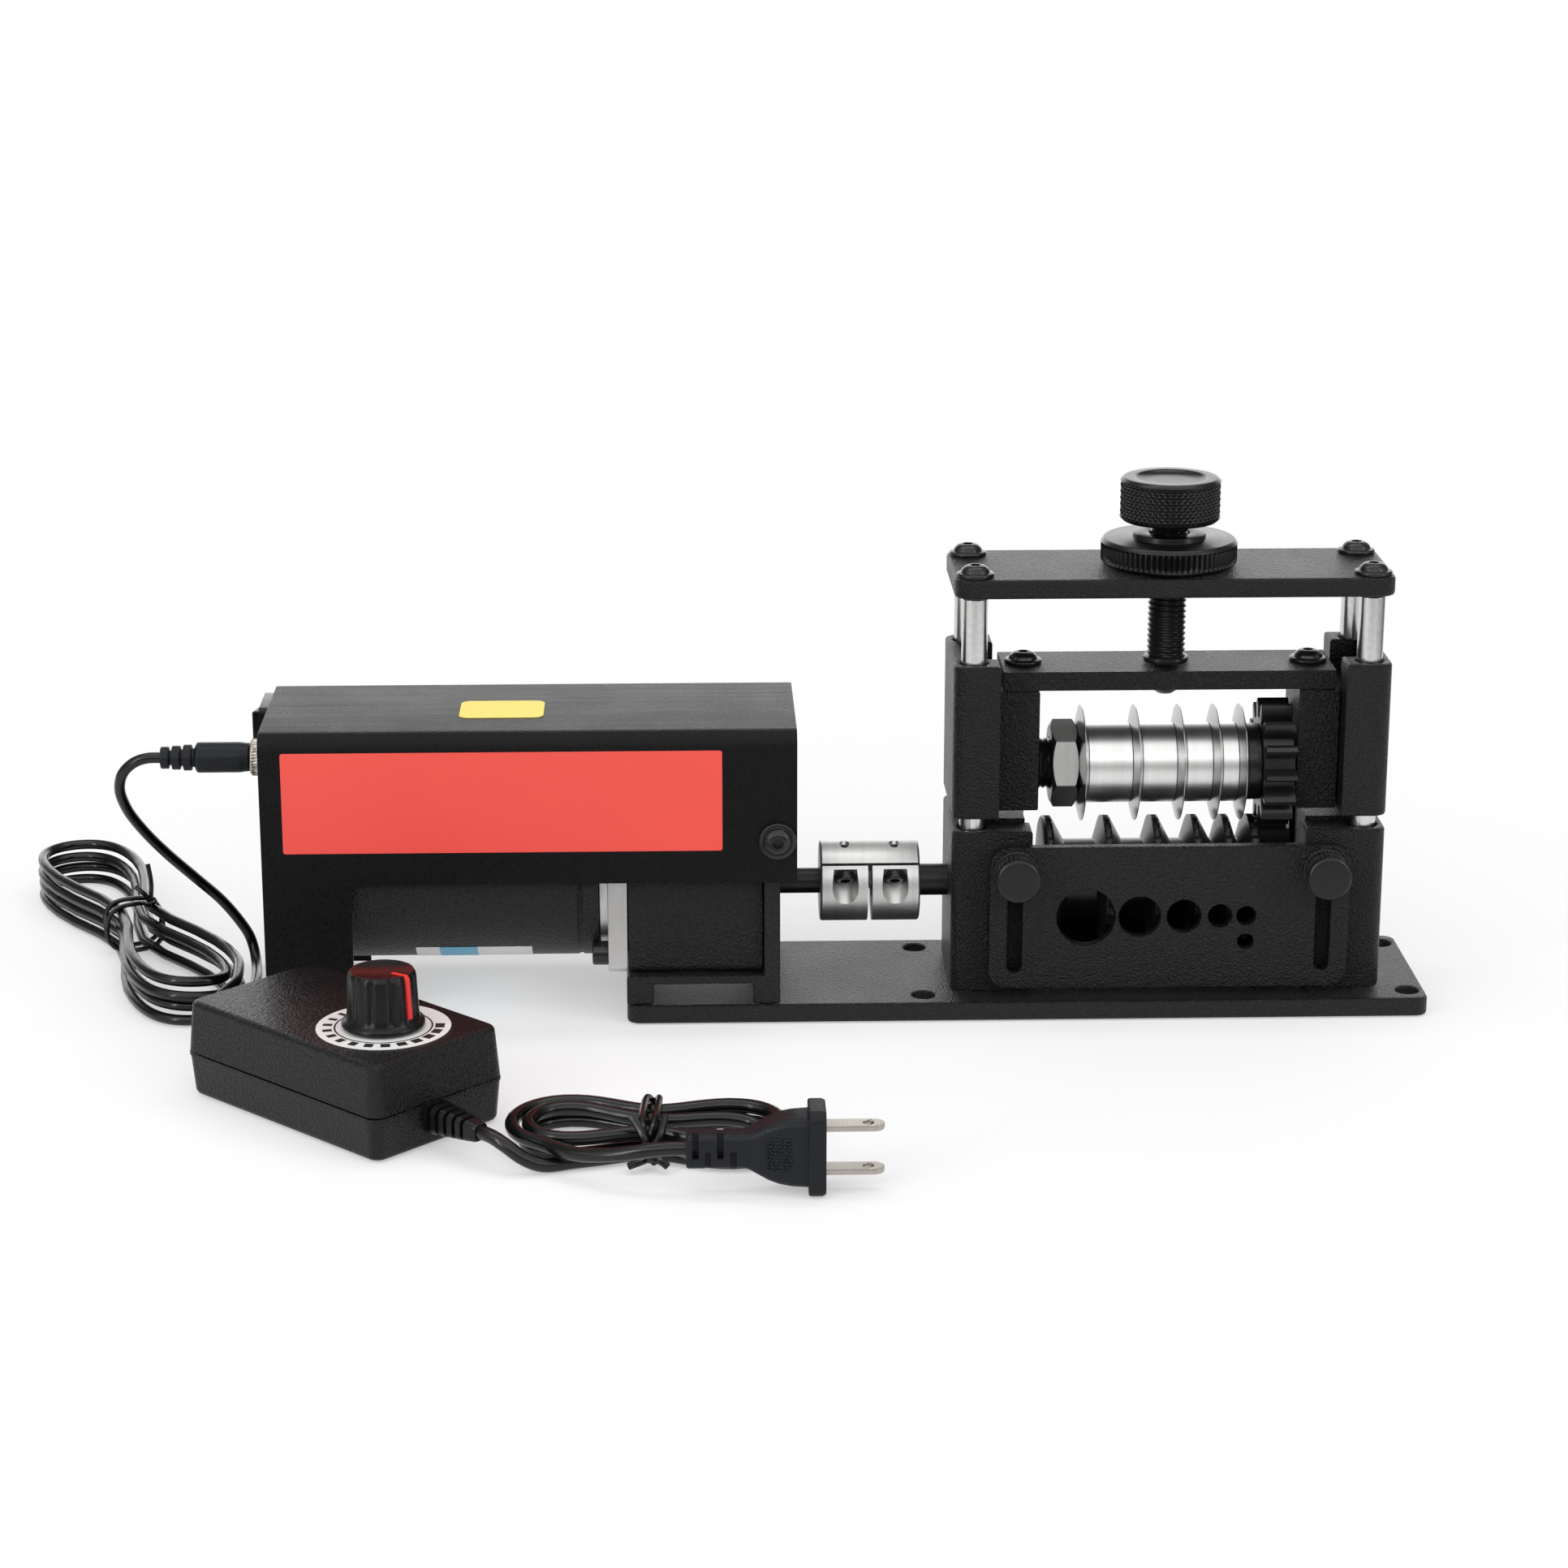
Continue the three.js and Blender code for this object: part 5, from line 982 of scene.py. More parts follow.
def patterned(name, outline, axis, place, finish, body, stands_for, ridges, climb, crossed, depth,
              sides, ease=0.25, sharp=30):
    """A turned piece with a pattern; climb is in turns of the wave per millimetre of height."""
    shape = lathe(eased(outline, ease, outline[0][0] > 0), sides)
    carrier = new_object("carrier", solid_mesh(name, shape, 1))
    made = grown(carrier, pattern_tree, Ridges=ridges, Climb=climb, Crossed=crossed, Depth=depth,
                 Finish=finish)
    made.transform(Matrix.Scale(MM, 4) @ Matrix.Translation(place) @ TURN[axis])
    return dress(name, made, finish, body, stands_for, sharp, False)


print("pattern tree has", len(pattern_tree.nodes), "nodes")

# %% Cut the roller's crests
CREST = 1.2  # half the width of a crest
crests = [BLADES[0] - 10] + [(a + b) / 2 for a, b in zip(BLADES, BLADES[1:])] + [BLADES[-1] + 4.1]
roller_outline = [(5.3, crests[0] - 1.8), (19.4, crests[0] - 1.8)]
roller_outline += band(20, crests[0] - CREST, crests[0] + CREST, 4)
for i, crest in enumerate(crests[1:]):
    last = crest == crests[-1]
    left, right = crests[i] + CREST, crest - CREST
    floor = max(0.6, right - left - 6.4)
    roller_outline += [(12.5, BLADES[i] - floor / 2), (12.5, BLADES[i] + floor / 2)]
    roller_outline += band(20, right, ROLLER_END if last else crest + CREST, 6 if last else 4)
roller_outline.append((5.3, ROLLER_END))
patterned("feed_roller_fluted", roller_outline, "x", ROLLER_AXIS, roller_oxide, "roller",
          ["feed_roller"], ridges=30, climb=0, crossed=0, depth=1.1, sides=240, ease=0.3)
print("crests at X =", [round(x, 1) for x in crests])

# %% [markdown]
# ## Knobs, the lock wheel and the threads
#
# The big knob and the thumb screws are diamond knurled, and the lock wheel has straight flutes.
# The adjusting screw has a 12 mm thread, and the blade shaft has a 16 mm one for its nut. All of
# them are turned outlines with a weighted band.

# %% Cut the knobs and the threads
knob_outline = [(0, 159.2), (4.3, 159.2), (4.3, 152.2), (14.5, 152.2)]
knob_outline += band(15.5, 153.2, 164.7, 46)
knob_outline += [(14.4, 165.7), (11, 165.7), (10.2, 165.0), (8.8, 164.6), (0, 164.5)]
patterned("adjusting_knob_knurled", knob_outline, "z", HEAD_AXIS, anodised, "screw",
          ["adjusting_knob"], ridges=50, climb=0.5, crossed=1, depth=0.85, sides=350, ease=0.3)
wheel_outline = [(6.3, 138.5), (20, 138.5)] + band(21, 139.5, 145.7, 6)
wheel_outline += [(20, 146.7), (11.25, 146.7), (11.25, 148.3), (6.3, 148.3)]
patterned("lock_wheel_fluted", wheel_outline, "z", HEAD_AXIS, anodised, "lock_wheel",
          ["lock_wheel"], ridges=72, climb=0, crossed=0, depth=1.1, sides=432, ease=0.3)
screw_outline = [(0, 97.1), (2.4, 97.2), (4.75, 98.9), (4.75, 100.9), (3.5, 100.9), (3.5, 107.5),
                 (7, 107.5), (7, 109.1)]
screw_outline += band(6, 109.1, 150.9, 191)
screw_outline += [(6.75, 150.9), (6.75, 151.9), (4, 151.9), (4, 158.9), (0, 158.9)]
patterned("adjusting_screw_threaded", screw_outline, "z", HEAD_AXIS, black_oxide, "screw",
          ["adjusting_screw"], ridges=1, climb=1 / 1.75, crossed=0, depth=0.75, sides=48,
          sharp=45)
for side, hand in HANDS:
    node = "thumb_screw_" + hand
    outline = [(0, -36.1), (5.9, -36.1)] + band(6.8, -35.5, -26.7, 26)
    outline += [(6.2, -26.1), (2, -26.1), (2, -13.5), (0, -13.5)]
    patterned(node + "_knurled", outline, "y", (HEAD + side * SLOT_X, 0, 46.8), anodised, node,
              [node], ridges=30, climb=0.7, crossed=1, depth=0.7, sides=210, ease=0.3)
shaft_outline = [(0, -13.7), (5.4, -13.7), (6, -13.1), (6, 3.4), (7.2, 3.4)] + band(8, 4.2, 16, 42)
shaft_outline += [(8, 16.2), (8, 83.6), (6, 83.6), (6, 100.1), (5.4, 100.7), (0, 100.7)]
patterned("blade_shaft_threaded", shaft_outline, "x", BLADE_AXIS, black_oxide, "blade_assembly",
          ["blade_shaft"], ridges=1, climb=1 / 1.5, crossed=0, depth=0.7, sides=64, ease=0.2,
          sharp=45)
print("knurls, flutes and threads cut")

# %% [markdown]
# ## Spur gears
#
# The two shafts are tied by a pair of gears with fourteen teeth. A tooth's flank is an involute:
# the line that the end of a taut thread draws as it unwinds from a circle. The outline is worked
# out from that rule and cut as a plate with the bore for its shaft.

# %% Cut the gears
def gear_outline(axis_height, first_tooth, module=2.5, teeth=14, backlash=0.25):
    pitch = module * teeth / 2
    tip, root = pitch + module, pitch - module * 1.25
    pressure = math.radians(20)
    base = pitch * math.cos(pressure)

    def half_tooth(radius):
        lean = math.acos(min(1, base / max(radius, base)))
        middle = math.pi / (2 * teeth) + math.tan(pressure) - pressure - backlash / 2 / pitch
        return middle - (math.tan(lean) - lean)

    radii = [root, base] + [base + (tip - base) * i / 6 for i in range(1, 7)]
    loop = []
    for tooth in range(teeth):
        middle = first_tooth + tooth * 2 * math.pi / teeth
        for hand, order in ((-1, radii), (1, radii[::-1])):
            for radius in order:
                angle = middle + hand * half_tooth(radius)
                loop.append((radius * math.cos(angle), axis_height + radius * math.sin(angle)))
    return loop


for name, height, bore, first, body, finish in (
    ("roller_gear", ROLLER_Z, 5.3, math.pi / 2, "roller", roller_oxide),
    ("blade_gear", BLADE_Z, BORE, -math.pi / 2 + math.pi / 14, "blade_assembly", black_oxide),
):
    cut_plate(name + "_fine", "x", gear_outline(height, first), [circle((0, height), bore)],
              (73.3, 83.1), finish, body, [name], slot="black_oxide")
print("gear outline has", len(gear_outline(0, 0)), "points")

# %% [markdown]
# ## The clamp coupling and the nut
#
# The coupling is a turned aluminium sleeve. One slit runs along it and looks up and to the front,
# another goes across its middle, and a screw in a pocket on each side of the cross slit pulls the
# sleeve tight. Boolean modifiers cut the slits and the pockets, as the mill does, and a bevel
# breaks the edges. The nut is a turned ring that has six flats milled off it. The flats get a
# lighter steel than the black oxide of the rest: a painted reflection, standing in for the bright
# reflection on the front flat of a nut that is black all over.

# %% Mill the coupling
def prism(axis, loop, low, high):
    """A cutter with a sharp outline, from low to high along an axis."""
    return solid_mesh("cutter", set_in_place(plate(loop, [], low, high, 0.001, 1), axis))


def milled(mesh, tools):
    """Subtracts each tool from a mesh and returns the plain result, which stays closed."""
    work = new_object("carrier", mesh)
    cutters = [new_object("carrier", tool) for tool in tools]
    for cutter in cutters:
        boolean = work.modifiers.new("cut", "BOOLEAN")
        boolean.operation, boolean.solver, boolean.object = "DIFFERENCE", "MANIFOLD", cutter
    depsgraph = bpy.context.evaluated_depsgraph_get()
    made = bpy.data.meshes.new_from_object(work.evaluated_get(depsgraph), depsgraph=depsgraph)
    for used in (work, *cutters):
        bpy.data.objects.remove(used)
    made.materials.clear()
    return made


COUPLING_X = -48.7  # its middle
CLAMP_X, CLAMP_Y = 7.8, -9.4  # the clamp screws, from its middle
LEAN = math.radians(-40)  # the clamp slit looks up and to the front
CLAMP = Matrix.Translation((0, 0, ROLLER_Z * MM)) @ Matrix.Rotation(LEAN, 4, "X")
sleeve_outline = [(0, -15.6), (12.2, -15.6), (12.7, -15.1), (12.7, 15.1), (12.2, 15.6), (0, 15.6)]
sleeve = set_in_place(lathe(eased(sleeve_outline, 0.2), 128), "x", (COUPLING_X, 0, ROLLER_Z))
tools = [
    prism("x", circle((0, ROLLER_Z), 4.3, 64), -70, COUPLING_X),
    prism("x", circle((0, ROLLER_Z), 5.3, 64), COUPLING_X - 0.1, -30),
    prism("x", [(2, ROLLER_Z), (-13, ROLLER_Z + 11), (-15, 20), (11, 20), (11, ROLLER_Z - 4)],
          COUPLING_X - 0.7, COUPLING_X + 0.7),
]
angled = [prism("x", [(-15, -0.45), (0, -0.45), (0, 0.45), (-15, 0.45)], -70, -30)]
for side in (-1, 1):
    x = COUPLING_X + side * CLAMP_X
    angled.append(prism("z", circle((x, -10.7), 4.1, 56), -14, -1.6))
    angled.append(prism("z", circle((x, CLAMP_Y), 1.6, 28), -3, 14))
for tool in angled:
    tool.transform(CLAMP)
coupling_mesh = milled(solid_mesh("sleeve", sleeve), tools + angled)
coupling = dress("shaft_coupling_milled", coupling_mesh, aluminium, "roller", ["shaft_coupling"],
                 30, False)
break_edges(coupling, 0.25)
print("coupling has", len(coupling_mesh.polygons), "faces")

# %% Mill the nut
NUT_END, NUT_TURN = BLADES[0] - 1.6, 166  # the turn of its first flat, in degrees
nut_outline = [(BORE, NUT_END - 8.2), (11.9, NUT_END - 8.2), (13.8, NUT_END - 7.1),
               (13.8, NUT_END - 1.1), (11.9, NUT_END), (BORE, NUT_END)]
nut_blank = solid_mesh("nut", set_in_place(lathe(nut_outline), "x", BLADE_AXIS))
tools = []
for i in range(6):
    out = Vector((1, 0))
    out.rotate(Matrix.Rotation(math.radians(NUT_TURN + i * 60), 2))
    side = Vector((-out.y, out.x)) * 12
    corners = [out * 12 - side, out * 22 - side, out * 22 + side, out * 12 + side]
    tools.append(prism("x", [(y, BLADE_Z + z) for y, z in corners], NUT_END - 10, NUT_END + 2))
nut_mesh = milled(nut_blank, tools)
nut_mesh.materials.append(black_oxide)
nut_mesh.materials.append(nut_steel)
# The flats get the lighter steel, a painted reflection; the chamfers and bore stay black oxide.
for face in nut_mesh.polygons:
    across, up = face.center.y, face.center.z - BLADE_Z * MM
    flat = abs(face.normal.x) < 0.1 and math.hypot(across, up) > 10 * MM
    face.material_index = 1 if flat else 0
clamp_nut = dress("blade_clamp_nut_milled", nut_mesh, black_oxide, "blade_assembly",
                  ["blade_clamp_nut"], 25, False)
break_edges(clamp_nut, 0.55, 25).material = 0
print("nut has", sum(face.material_index for face in nut_mesh.polygons), "bare flats")

# %% [markdown]
# ## Screws
#
# One prototype of each kind of screw is made with its hexagon socket, and a Geometry Nodes tree
# sets copies on points. Each point carries the way its screw faces and how far it is turned, so
# that no two sockets stand alike. The copies are made real before they leave the tree.

# %% Build the screw tree
tree, given = start_tree("screws", {"Screw": "Object", "Finish": "Material"})
info = tree.node("GeometryNodeObjectInfo", values={"Object": given["Screw"], "As Instance": True},
                 output="Geometry")
attribute = "GeometryNodeInputNamedAttribute"
facing = tree.node(attribute, {"data_type": "FLOAT_VECTOR"}, {"Name": "facing"})
about = tree.node(attribute, {"data_type": "FLOAT"}, {"Name": "about"})
spin = tree.node("ShaderNodeCombineXYZ", values={"Z": about})
aligned = tree.node("FunctionNodeAlignRotationToVector", {"axis": "Z"}, {"Vector": facing})
spun = tree.node("FunctionNodeRotateRotation", {"rotation_space": "LOCAL"}, {
    "Rotation": aligned, "Rotate By": spin})
points = tree.node("GeometryNodeMeshToPoints", values={"Mesh": given["Geometry"]})
copies = tree.node("GeometryNodeInstanceOnPoints", values={
    "Points": points, "Instance": info, "Rotation": spun})
screw_tree = end_tree(tree, copies, given["Finish"])


def socket_screw(outline, across_flats, depth, top):
    """A screw head about local Z with a hexagon socket in its top."""
    head = solid_mesh("head", lathe(eased(outline, 0.3), 64))
    corner = across_flats / math.sqrt(3)
    turns = [math.radians(60 * i) for i in range(6)]
    hexagon = [(corner * math.cos(turn), corner * math.sin(turn)) for turn in turns]
    return milled(head, [prism("z", hexagon, top - depth, top + 2)])


def set_screws(name, head, places, body):
    """places are (x, y, z, facing, turn in degrees)."""
    mesh = bpy.data.meshes.new(name)
    mesh.from_pydata([Vector(place[:3]) * MM for place in places], [], [])
    mesh.attributes.new("facing", "FLOAT_VECTOR", "POINT").data.foreach_set(
        "vector", [part for place in places for part in place[3]])
    mesh.attributes.new("about", "FLOAT", "POINT").data.foreach_set(
        "value", [math.radians(place[4]) for place in places])
    prototype = new_object("carrier", head)
    made = grown(new_object("carrier", mesh), screw_tree, Screw=prototype, Finish=screw_black)
    bpy.data.objects.remove(prototype)
    return dress(name, made, screw_black, body, sharp=32, weighted=False)


button_head = socket_screw(
    [(0, 0), (5.8, 0), (5.8, 0.9), (5.5, 1.2), (4.5, 1.3), (4.2, 2.3), (3.2, 3.2), (2.2, 3.5),
     (0, 3.5)], across_flats=3.1, depth=1.9, top=3.5)
cap_head = socket_screw(
    [(0, 0), (3.75, 0), (3.75, 4.6), (3.35, 5), (0, 5)], across_flats=3.4, depth=2.6, top=5)
clamp_head = socket_screw(
    [(0, -9.4), (1.3, -9.4), (1.5, -9.1), (1.5, 0), (2.8, 0), (2.8, 2.3), (2.5, 2.6), (0, 2.6)],
    across_flats=3, depth=1.9, top=2.6)

# %% Set the screws
UP, FRONT, REAR, LEFT, DOWN = (0, 0, 1), (0, -1, 0), (0, 1, 0), (-1, 0, 0), (0, 0, -1)
lean = Matrix.Rotation(LEAN, 3, "X")
seat, into_pocket = lean @ Vector((0, CLAMP_Y, -1.7)), tuple(lean @ Vector(DOWN))
top_places = [(HEAD + side * ROD_X, across * ROD_Y, 138.2, UP, 17 * side + 31 * across + 40)
              for side, across in CORNERS]
bar_places = [(HEAD + side * 44.5, 0, 107.2, UP, 12 + side * 21) for side in (-1, 1)]
cover_places = [(-78.3, -32, 59.5, FRONT, 14), (-78.3, 32, 59.5, REAR, 40)]
end_places = [(-130.6, side * 23.5, MOTOR_Z + up * 23.5, LEFT, 20 * side + 9 * up)
              for side, up in CORNERS]
clamp_places = [(COUPLING_X + side * CLAMP_X, seat.y, ROLLER_Z + seat.z, into_pocket, 25 * side)
                for side in (-1, 1)]
screw_rows = (
    ("top_plate_screws", button_head, top_places, "frame"),
    ("crossbar_screws", button_head, bar_places, "carriage"),
    ("cover_screws", button_head, cover_places, "frame"),
    ("end_plate_screws", cap_head, end_places, "frame"),
    ("coupling_clamp_screws", clamp_head, clamp_places, "roller"),
)
for name, head, places, body in screw_rows:
    set_screws(name, head, places, body)
print("screws set:", sum(len(places) for name, head, places, body in screw_rows))

# %% [markdown]
# ## Labels and films
#
# A film is a thin plate with rounded corners, a tenth of a millimetre proud of the metal. The
# front of the cover has a red one, its top a small yellow one, and the motor a white strip with a
# blue patch. All are plain. The strip on the round can is a loft: sections with faces between.

# %% Lay the films
def lofted(rings):
    """A closed solid through rings with the same count of points."""
    shape = bmesh.new()
    made = [[shape.verts.new(point) for point in ring] for ring in rings]
    for low, high in zip(made, made[1:]):
        for i in range(len(low)):
            j = (i + 1) % len(low)
            shape.faces.new((low[i], low[j], high[j], high[i]))
    shape.faces.new(made[0][::-1])
    shape.faces.new(made[-1])
    return shape


def motor_film(name, left, right, finish, lift, start=48, end=118, steps=24):
    """A strip of film bent round the motor can, between two angles below the horizontal."""
    section = ((left, 30.02), (right, 30.02), (right, 30.05 + lift), (left, 30.05 + lift))
    rings = []
    for i in range(steps + 1):
        angle = math.radians(start + (end - start) * i / steps)
        out = Vector((0, -math.cos(angle), -math.sin(angle)))
        rings.append([Vector((x, 0, MOTOR_Z)) + out * radius for x, radius in section])
    shape = lofted(rings)
    bmesh.ops.recalc_face_normals(shape, faces=shape.faces)
    make_piece(name, shape, finish, "frame", sharp=60)


FILM = 0.12
cut_plate("front_label", "y", rounded((56.6, -229.2), (88.4, -95.2), 0.8), [], (-32 - FILM, -32),
          red_film, "frame", edge=0.03)
cut_plate("top_label", "z", rounded((-176, -13), (-150, 7), 3), [], (94, 94 + FILM),
          yellow_film, "frame", edge=0.03)
motor_film("motor_label", -190.6, -154.5, white_film, 0.08)
motor_film("motor_label_end", -183.2, -171.5, blue_film, 0.14)
print("films are plain and carry nothing")

# %% [markdown]
# ## The jack and its plug
#
# The jack has a bright ring nut with straight flutes. The plug on the cord is moulded soft
# plastic, with a few ribs on its relief so that it bends instead of kinking.

# %% Make the jack and the plug
jack_outline = [(0, -230.7), (2.8, -230.7), (2.8, -239.7), (5.2, -239.7)]
jack_outline += band(5.75, -239.2, -236.8, 3)
jack_outline += [(5.3, -236.3), (4, -236.3), (4, -234.5), (5.75, -234.5), (5.75, -224.5),
                 (0, -224.5)]
patterned("power_jack_fluted", jack_outline, "x", JACK_AXIS, nickel, "frame", ["power_jack"],
          ridges=36, climb=0, crossed=0, depth=0.35, sides=144, ease=0.15)
plug_outline = [(0, -267.3), (1.9, -267.3)]
for i in range(3):
    start, radius = -267.2 + i * 3.5, 3.4 + i * 0.3
    waist = radius - 1.1
    plug_outline += [(radius, start), (radius, start + 2.5), (waist, start + 2.6), (waist, start + 3.4)]
plug_outline += [(4.0, -256.5), (4.7, -255.9), (4.7, -243), (4.4, -241), (4.4, -240.1),
                 (2.5, -240), (2.5, -233), (0, -233)]
machine_plug = turned("machine_plug_moulded", plug_outline, "x", JACK_AXIS, plug_plastic, "frame",
                      ["machine_plug"], 0.3, 64, slot="cord_jacket")
print("plug is", round(-240 - PLUG_MOUTH[0], 1), "mm long outside the jack")

# %% [markdown]
# ## The adapter with its speed control
#
# The case is two moulded shells that meet at a seam. Each is a loft of rounded rectangles that
# taper away from the seam for the mould's draft, with a generous radius at the top edge. The
# reliefs are ribbed blocks at both ends.

# %% Mould the adapter
ADAPTER = Matrix.Translation((ADAPTER_X, ADAPTER_Y, 0)) @ Matrix.Rotation(ADAPTER_TURN, 4, "Z")


def on_adapter(shape):
    """Moves a shape from the adapter's own axes to where the adapter lies."""
    bmesh.ops.transform(shape, matrix=ADAPTER, verts=shape.verts)
    return shape


def case_ring(pull, height):
    half_x, half_y, corner = ADAPTER_HALF - pull, 25 - pull, max(1.5, 4 - pull * 0.5)
    return [(u, v, height) for u, v in rounded((-half_x, -half_y), (half_x, half_y), corner)]


def edge_rings(level, sign, draft=1.1, edge=1.8):
    """Rings that turn a wall over into a flat face, away from the seam."""
    bends = [math.pi / 2 * i / 6 for i in range(7)]
    return [case_ring(draft + edge * (1 - math.cos(b)), level + sign * edge * (math.sin(b) - 1))
            for b in bends]


seam = [case_ring(0.25, 12.2), case_ring(0.0, 12.4), case_ring(0.0, 13.2)]
base_rings = edge_rings(0, -1)[::-1] + seam
lid_rings = [case_ring(0.25, 13.5), case_ring(0.1, 13.7)] + edge_rings(29, 1)
for node, rings in (("adapter_base", base_rings), ("adapter_lid", lid_rings)):
    make_piece(node + "_moulded", on_adapter(lofted(rings)), case_plastic, "frame", [node], 30,
               slot="black_plastic")


def ribbed_relief(node, end, offset):
    """A rounded block on the case, cut by slots that leave thin ribs, tapering to the cord."""
    stations = [(0.3, 1.0, 0)]  # along, size, and how far a slot is sunk
    for i in range(5):
        start, size = 2.2 + i * 3.1, 1 - 0.07 * i
        stations += [(start, size, 0), (start + 0.15, size, 1.1), (start + 1.15, size, 1.1),
                     (start + 1.3, size - 0.02, 0)]
    stations += [(17.6, 0.64, 0), (19.2, 0.6, 0), (RELIEF_LENGTH, 0.52, 0)]
    rings = []
    for along, size, sunk in stations:
        half, x = 4.5 * size - sunk, along * end + end * ADAPTER_HALF
        outline = rounded((-half, -half), (half, half), half * 0.55, 5)
        rings.append([(x, offset + u, RELIEF_Z + v) for u, v in outline])
    shape = lofted(rings)
    bmesh.ops.recalc_face_normals(shape, faces=shape.faces)
    make_piece(node + "_moulded", on_adapter(shape), knob_plastic, "frame", [node], 35,
               slot="black_plastic")


ribbed_relief("mains_relief", 1, MAINS_RELIEF_Y)
ribbed_relief("supply_relief", -1, SUPPLY_RELIEF_Y)
print("adapter rings:", len(base_rings), "and", len(lid_rings))

# %% [markdown]
# ## The speed knob and its dial
#
# The knob has a flared foot and a fluted grip, with a red line on its top and side that points at
# the dial. The dial is a white ring with dark blocks that grow round it: a plain sign for more
# speed. Geometry Nodes set the blocks round the circle, each a little longer than the last.

# %% Make the knob
KNOB_X = 18.2  # the knob's axis, along the adapter


def knob_ring(radius, hollow, height, flutes=12, per_flute=12):
    ring = []
    for i in range(flutes * per_flute):
        angle = 2 * math.pi * i / (flutes * per_flute)
        dip = (0.5 + 0.5 * math.cos(angle * flutes)) ** 6
        reach = radius - hollow * dip
        ring.append((KNOB_X + reach * math.cos(angle), reach * math.sin(angle), height))
    return ring


profile = [(11.6, 0, 29.8), (12, 0, 30.2), (12, 0, 31.0), (11.7, 0, 31.5), (10.8, 0, 32.1),
           (10.5, 0.1, 33), (10.4, 0.55, 34), (9.85, 0.6, 44.6), (9.5, 0.5, 45.8), (9.1, 0.1, 46.3),
           (8.7, 0, 46.4), (8.2, 0, 46.3), (7.9, 0, 46.1), (1.0, 0, 46.0)]
knob_shape = on_adapter(lofted([knob_ring(*entry) for entry in profile]))
make_piece("speed_knob_fluted", knob_shape, knob_plastic, "speed_knob", ["speed_knob"], 35, False,
           "black_plastic")

POINTER = math.radians(44.6 - 38)  # the pointer's direction, about the knob on the adapter


def pointer_ring(half, low_reach, low, high_reach, high):
    corners = ((low_reach, -half, low), (low_reach, half, low),
               (high_reach, half, high), (high_reach, -half, high))
    cos, sin = math.cos(POINTER), math.sin(POINTER)
    return [(KNOB_X + r * cos - w * sin, r * sin + w * cos, h) for r, w, h in corners]


pointer_shape = lofted([pointer_ring(*entry) for entry in (
    (0.55, 4.0, 45.9, 4.0, 46.22),
    (0.6, 8.1, 45.9, 8.1, 46.42),
    (0.65, 9.0, 45.0, 9.25, 46.4),
    (0.7, 9.2, 44.4, 10.0, 45.4),
    (0.75, 9.8, 33.4, 10.75, 33.6),
)])
bmesh.ops.recalc_face_normals(pointer_shape, faces=pointer_shape.faces)
make_piece("speed_pointer", on_adapter(pointer_shape), pointer_red, "speed_knob", sharp=30,
           weighted=False)
print("pointer at", round(math.degrees(POINTER), 1), "degrees on the adapter")

# %% Make the dial
def dial_disc(name, outer, hole, span, edge, finish):
    disc = plate(circle((KNOB_X, 0), outer, 96), [hole], *span, edge, 1)
    make_piece(name, on_adapter(disc), finish, "frame")


dial_disc("dial_ring", 19.4, circle((KNOB_X, 0), 6, 64), (29.0, 29.16), 0.04, white_film)

tree, given = start_tree("dial_marks", {
    "Count": "Int", "Radius": "Float", "Length": "Float", "Growth": "Float",
    "Finish": "Material"})
row = tree.node("GeometryNodePoints", values={"Count": given["Count"]})
share = tree.node("GeometryNodeInputIndex") / (given["Count"] - 1)
angle = math.radians(-225) + share * math.radians(270)
where = tree.node("ShaderNodeCombineXYZ", values={
    "X": tree.sum("COSINE", angle) * given["Radius"],
    "Y": tree.sum("SINE", angle) * given["Radius"]})
placed = tree.node("GeometryNodeSetPosition", values={"Geometry": row, "Position": where})
mark = tree.node("GeometryNodeMeshCube", values={"Size": (1, 1, 0.14)})
size = tree.node("ShaderNodeCombineXYZ", values={
    "X": given["Length"], "Y": given["Length"] * (0.35 + share * given["Growth"]), "Z": 1.0})
spin = tree.node("ShaderNodeCombineXYZ", values={"Z": angle})
turned_to = tree.node("FunctionNodeEulerToRotation", values={0: spin})
copies = tree.node("GeometryNodeInstanceOnPoints", values={
    "Points": placed, "Instance": mark, "Rotation": turned_to, "Scale": size})
dial_tree = end_tree(tree, copies, given["Finish"])
marks = grown(new_object("carrier", bpy.data.meshes.new("dial")), dial_tree, Count=17, Radius=16.2,
              Length=2.7, Growth=0.95, Finish=black_film)
marks.transform(Matrix.Scale(MM, 4) @ ADAPTER @ Matrix.Translation((KNOB_X, 0, 29.15)))
dress("dial_marks", marks, black_film, "frame", weighted=False)
dial_disc("dial_line", 14.25, circle((KNOB_X, 0), 13.75, 96), (29.1, 29.22), 0.02, black_film)
print("dial has", len(marks.polygons) // 6, "marks")

# %% [markdown]
# ## The mains plug
#
# The plug is moulded round two flat prongs. It stands on its narrow edge: a slotted relief block,
# a body that flares to the flange, and a grip patch of small pebbles on its side. The body is a
# loft that has its slots milled in, and the pebbles are small domes that Geometry Nodes set on
# points in staggered rows.

# %% Mould the plug
def plug_ring(along, width, height, corner):
    half_y, half_z = width / 2, height / 2
    return [(PLUG_X + along, PLUG_Y + u, PLUG_Z + v)
            for u, v in rounded((-half_y, -half_z), (half_y, half_z), corner, 6)]


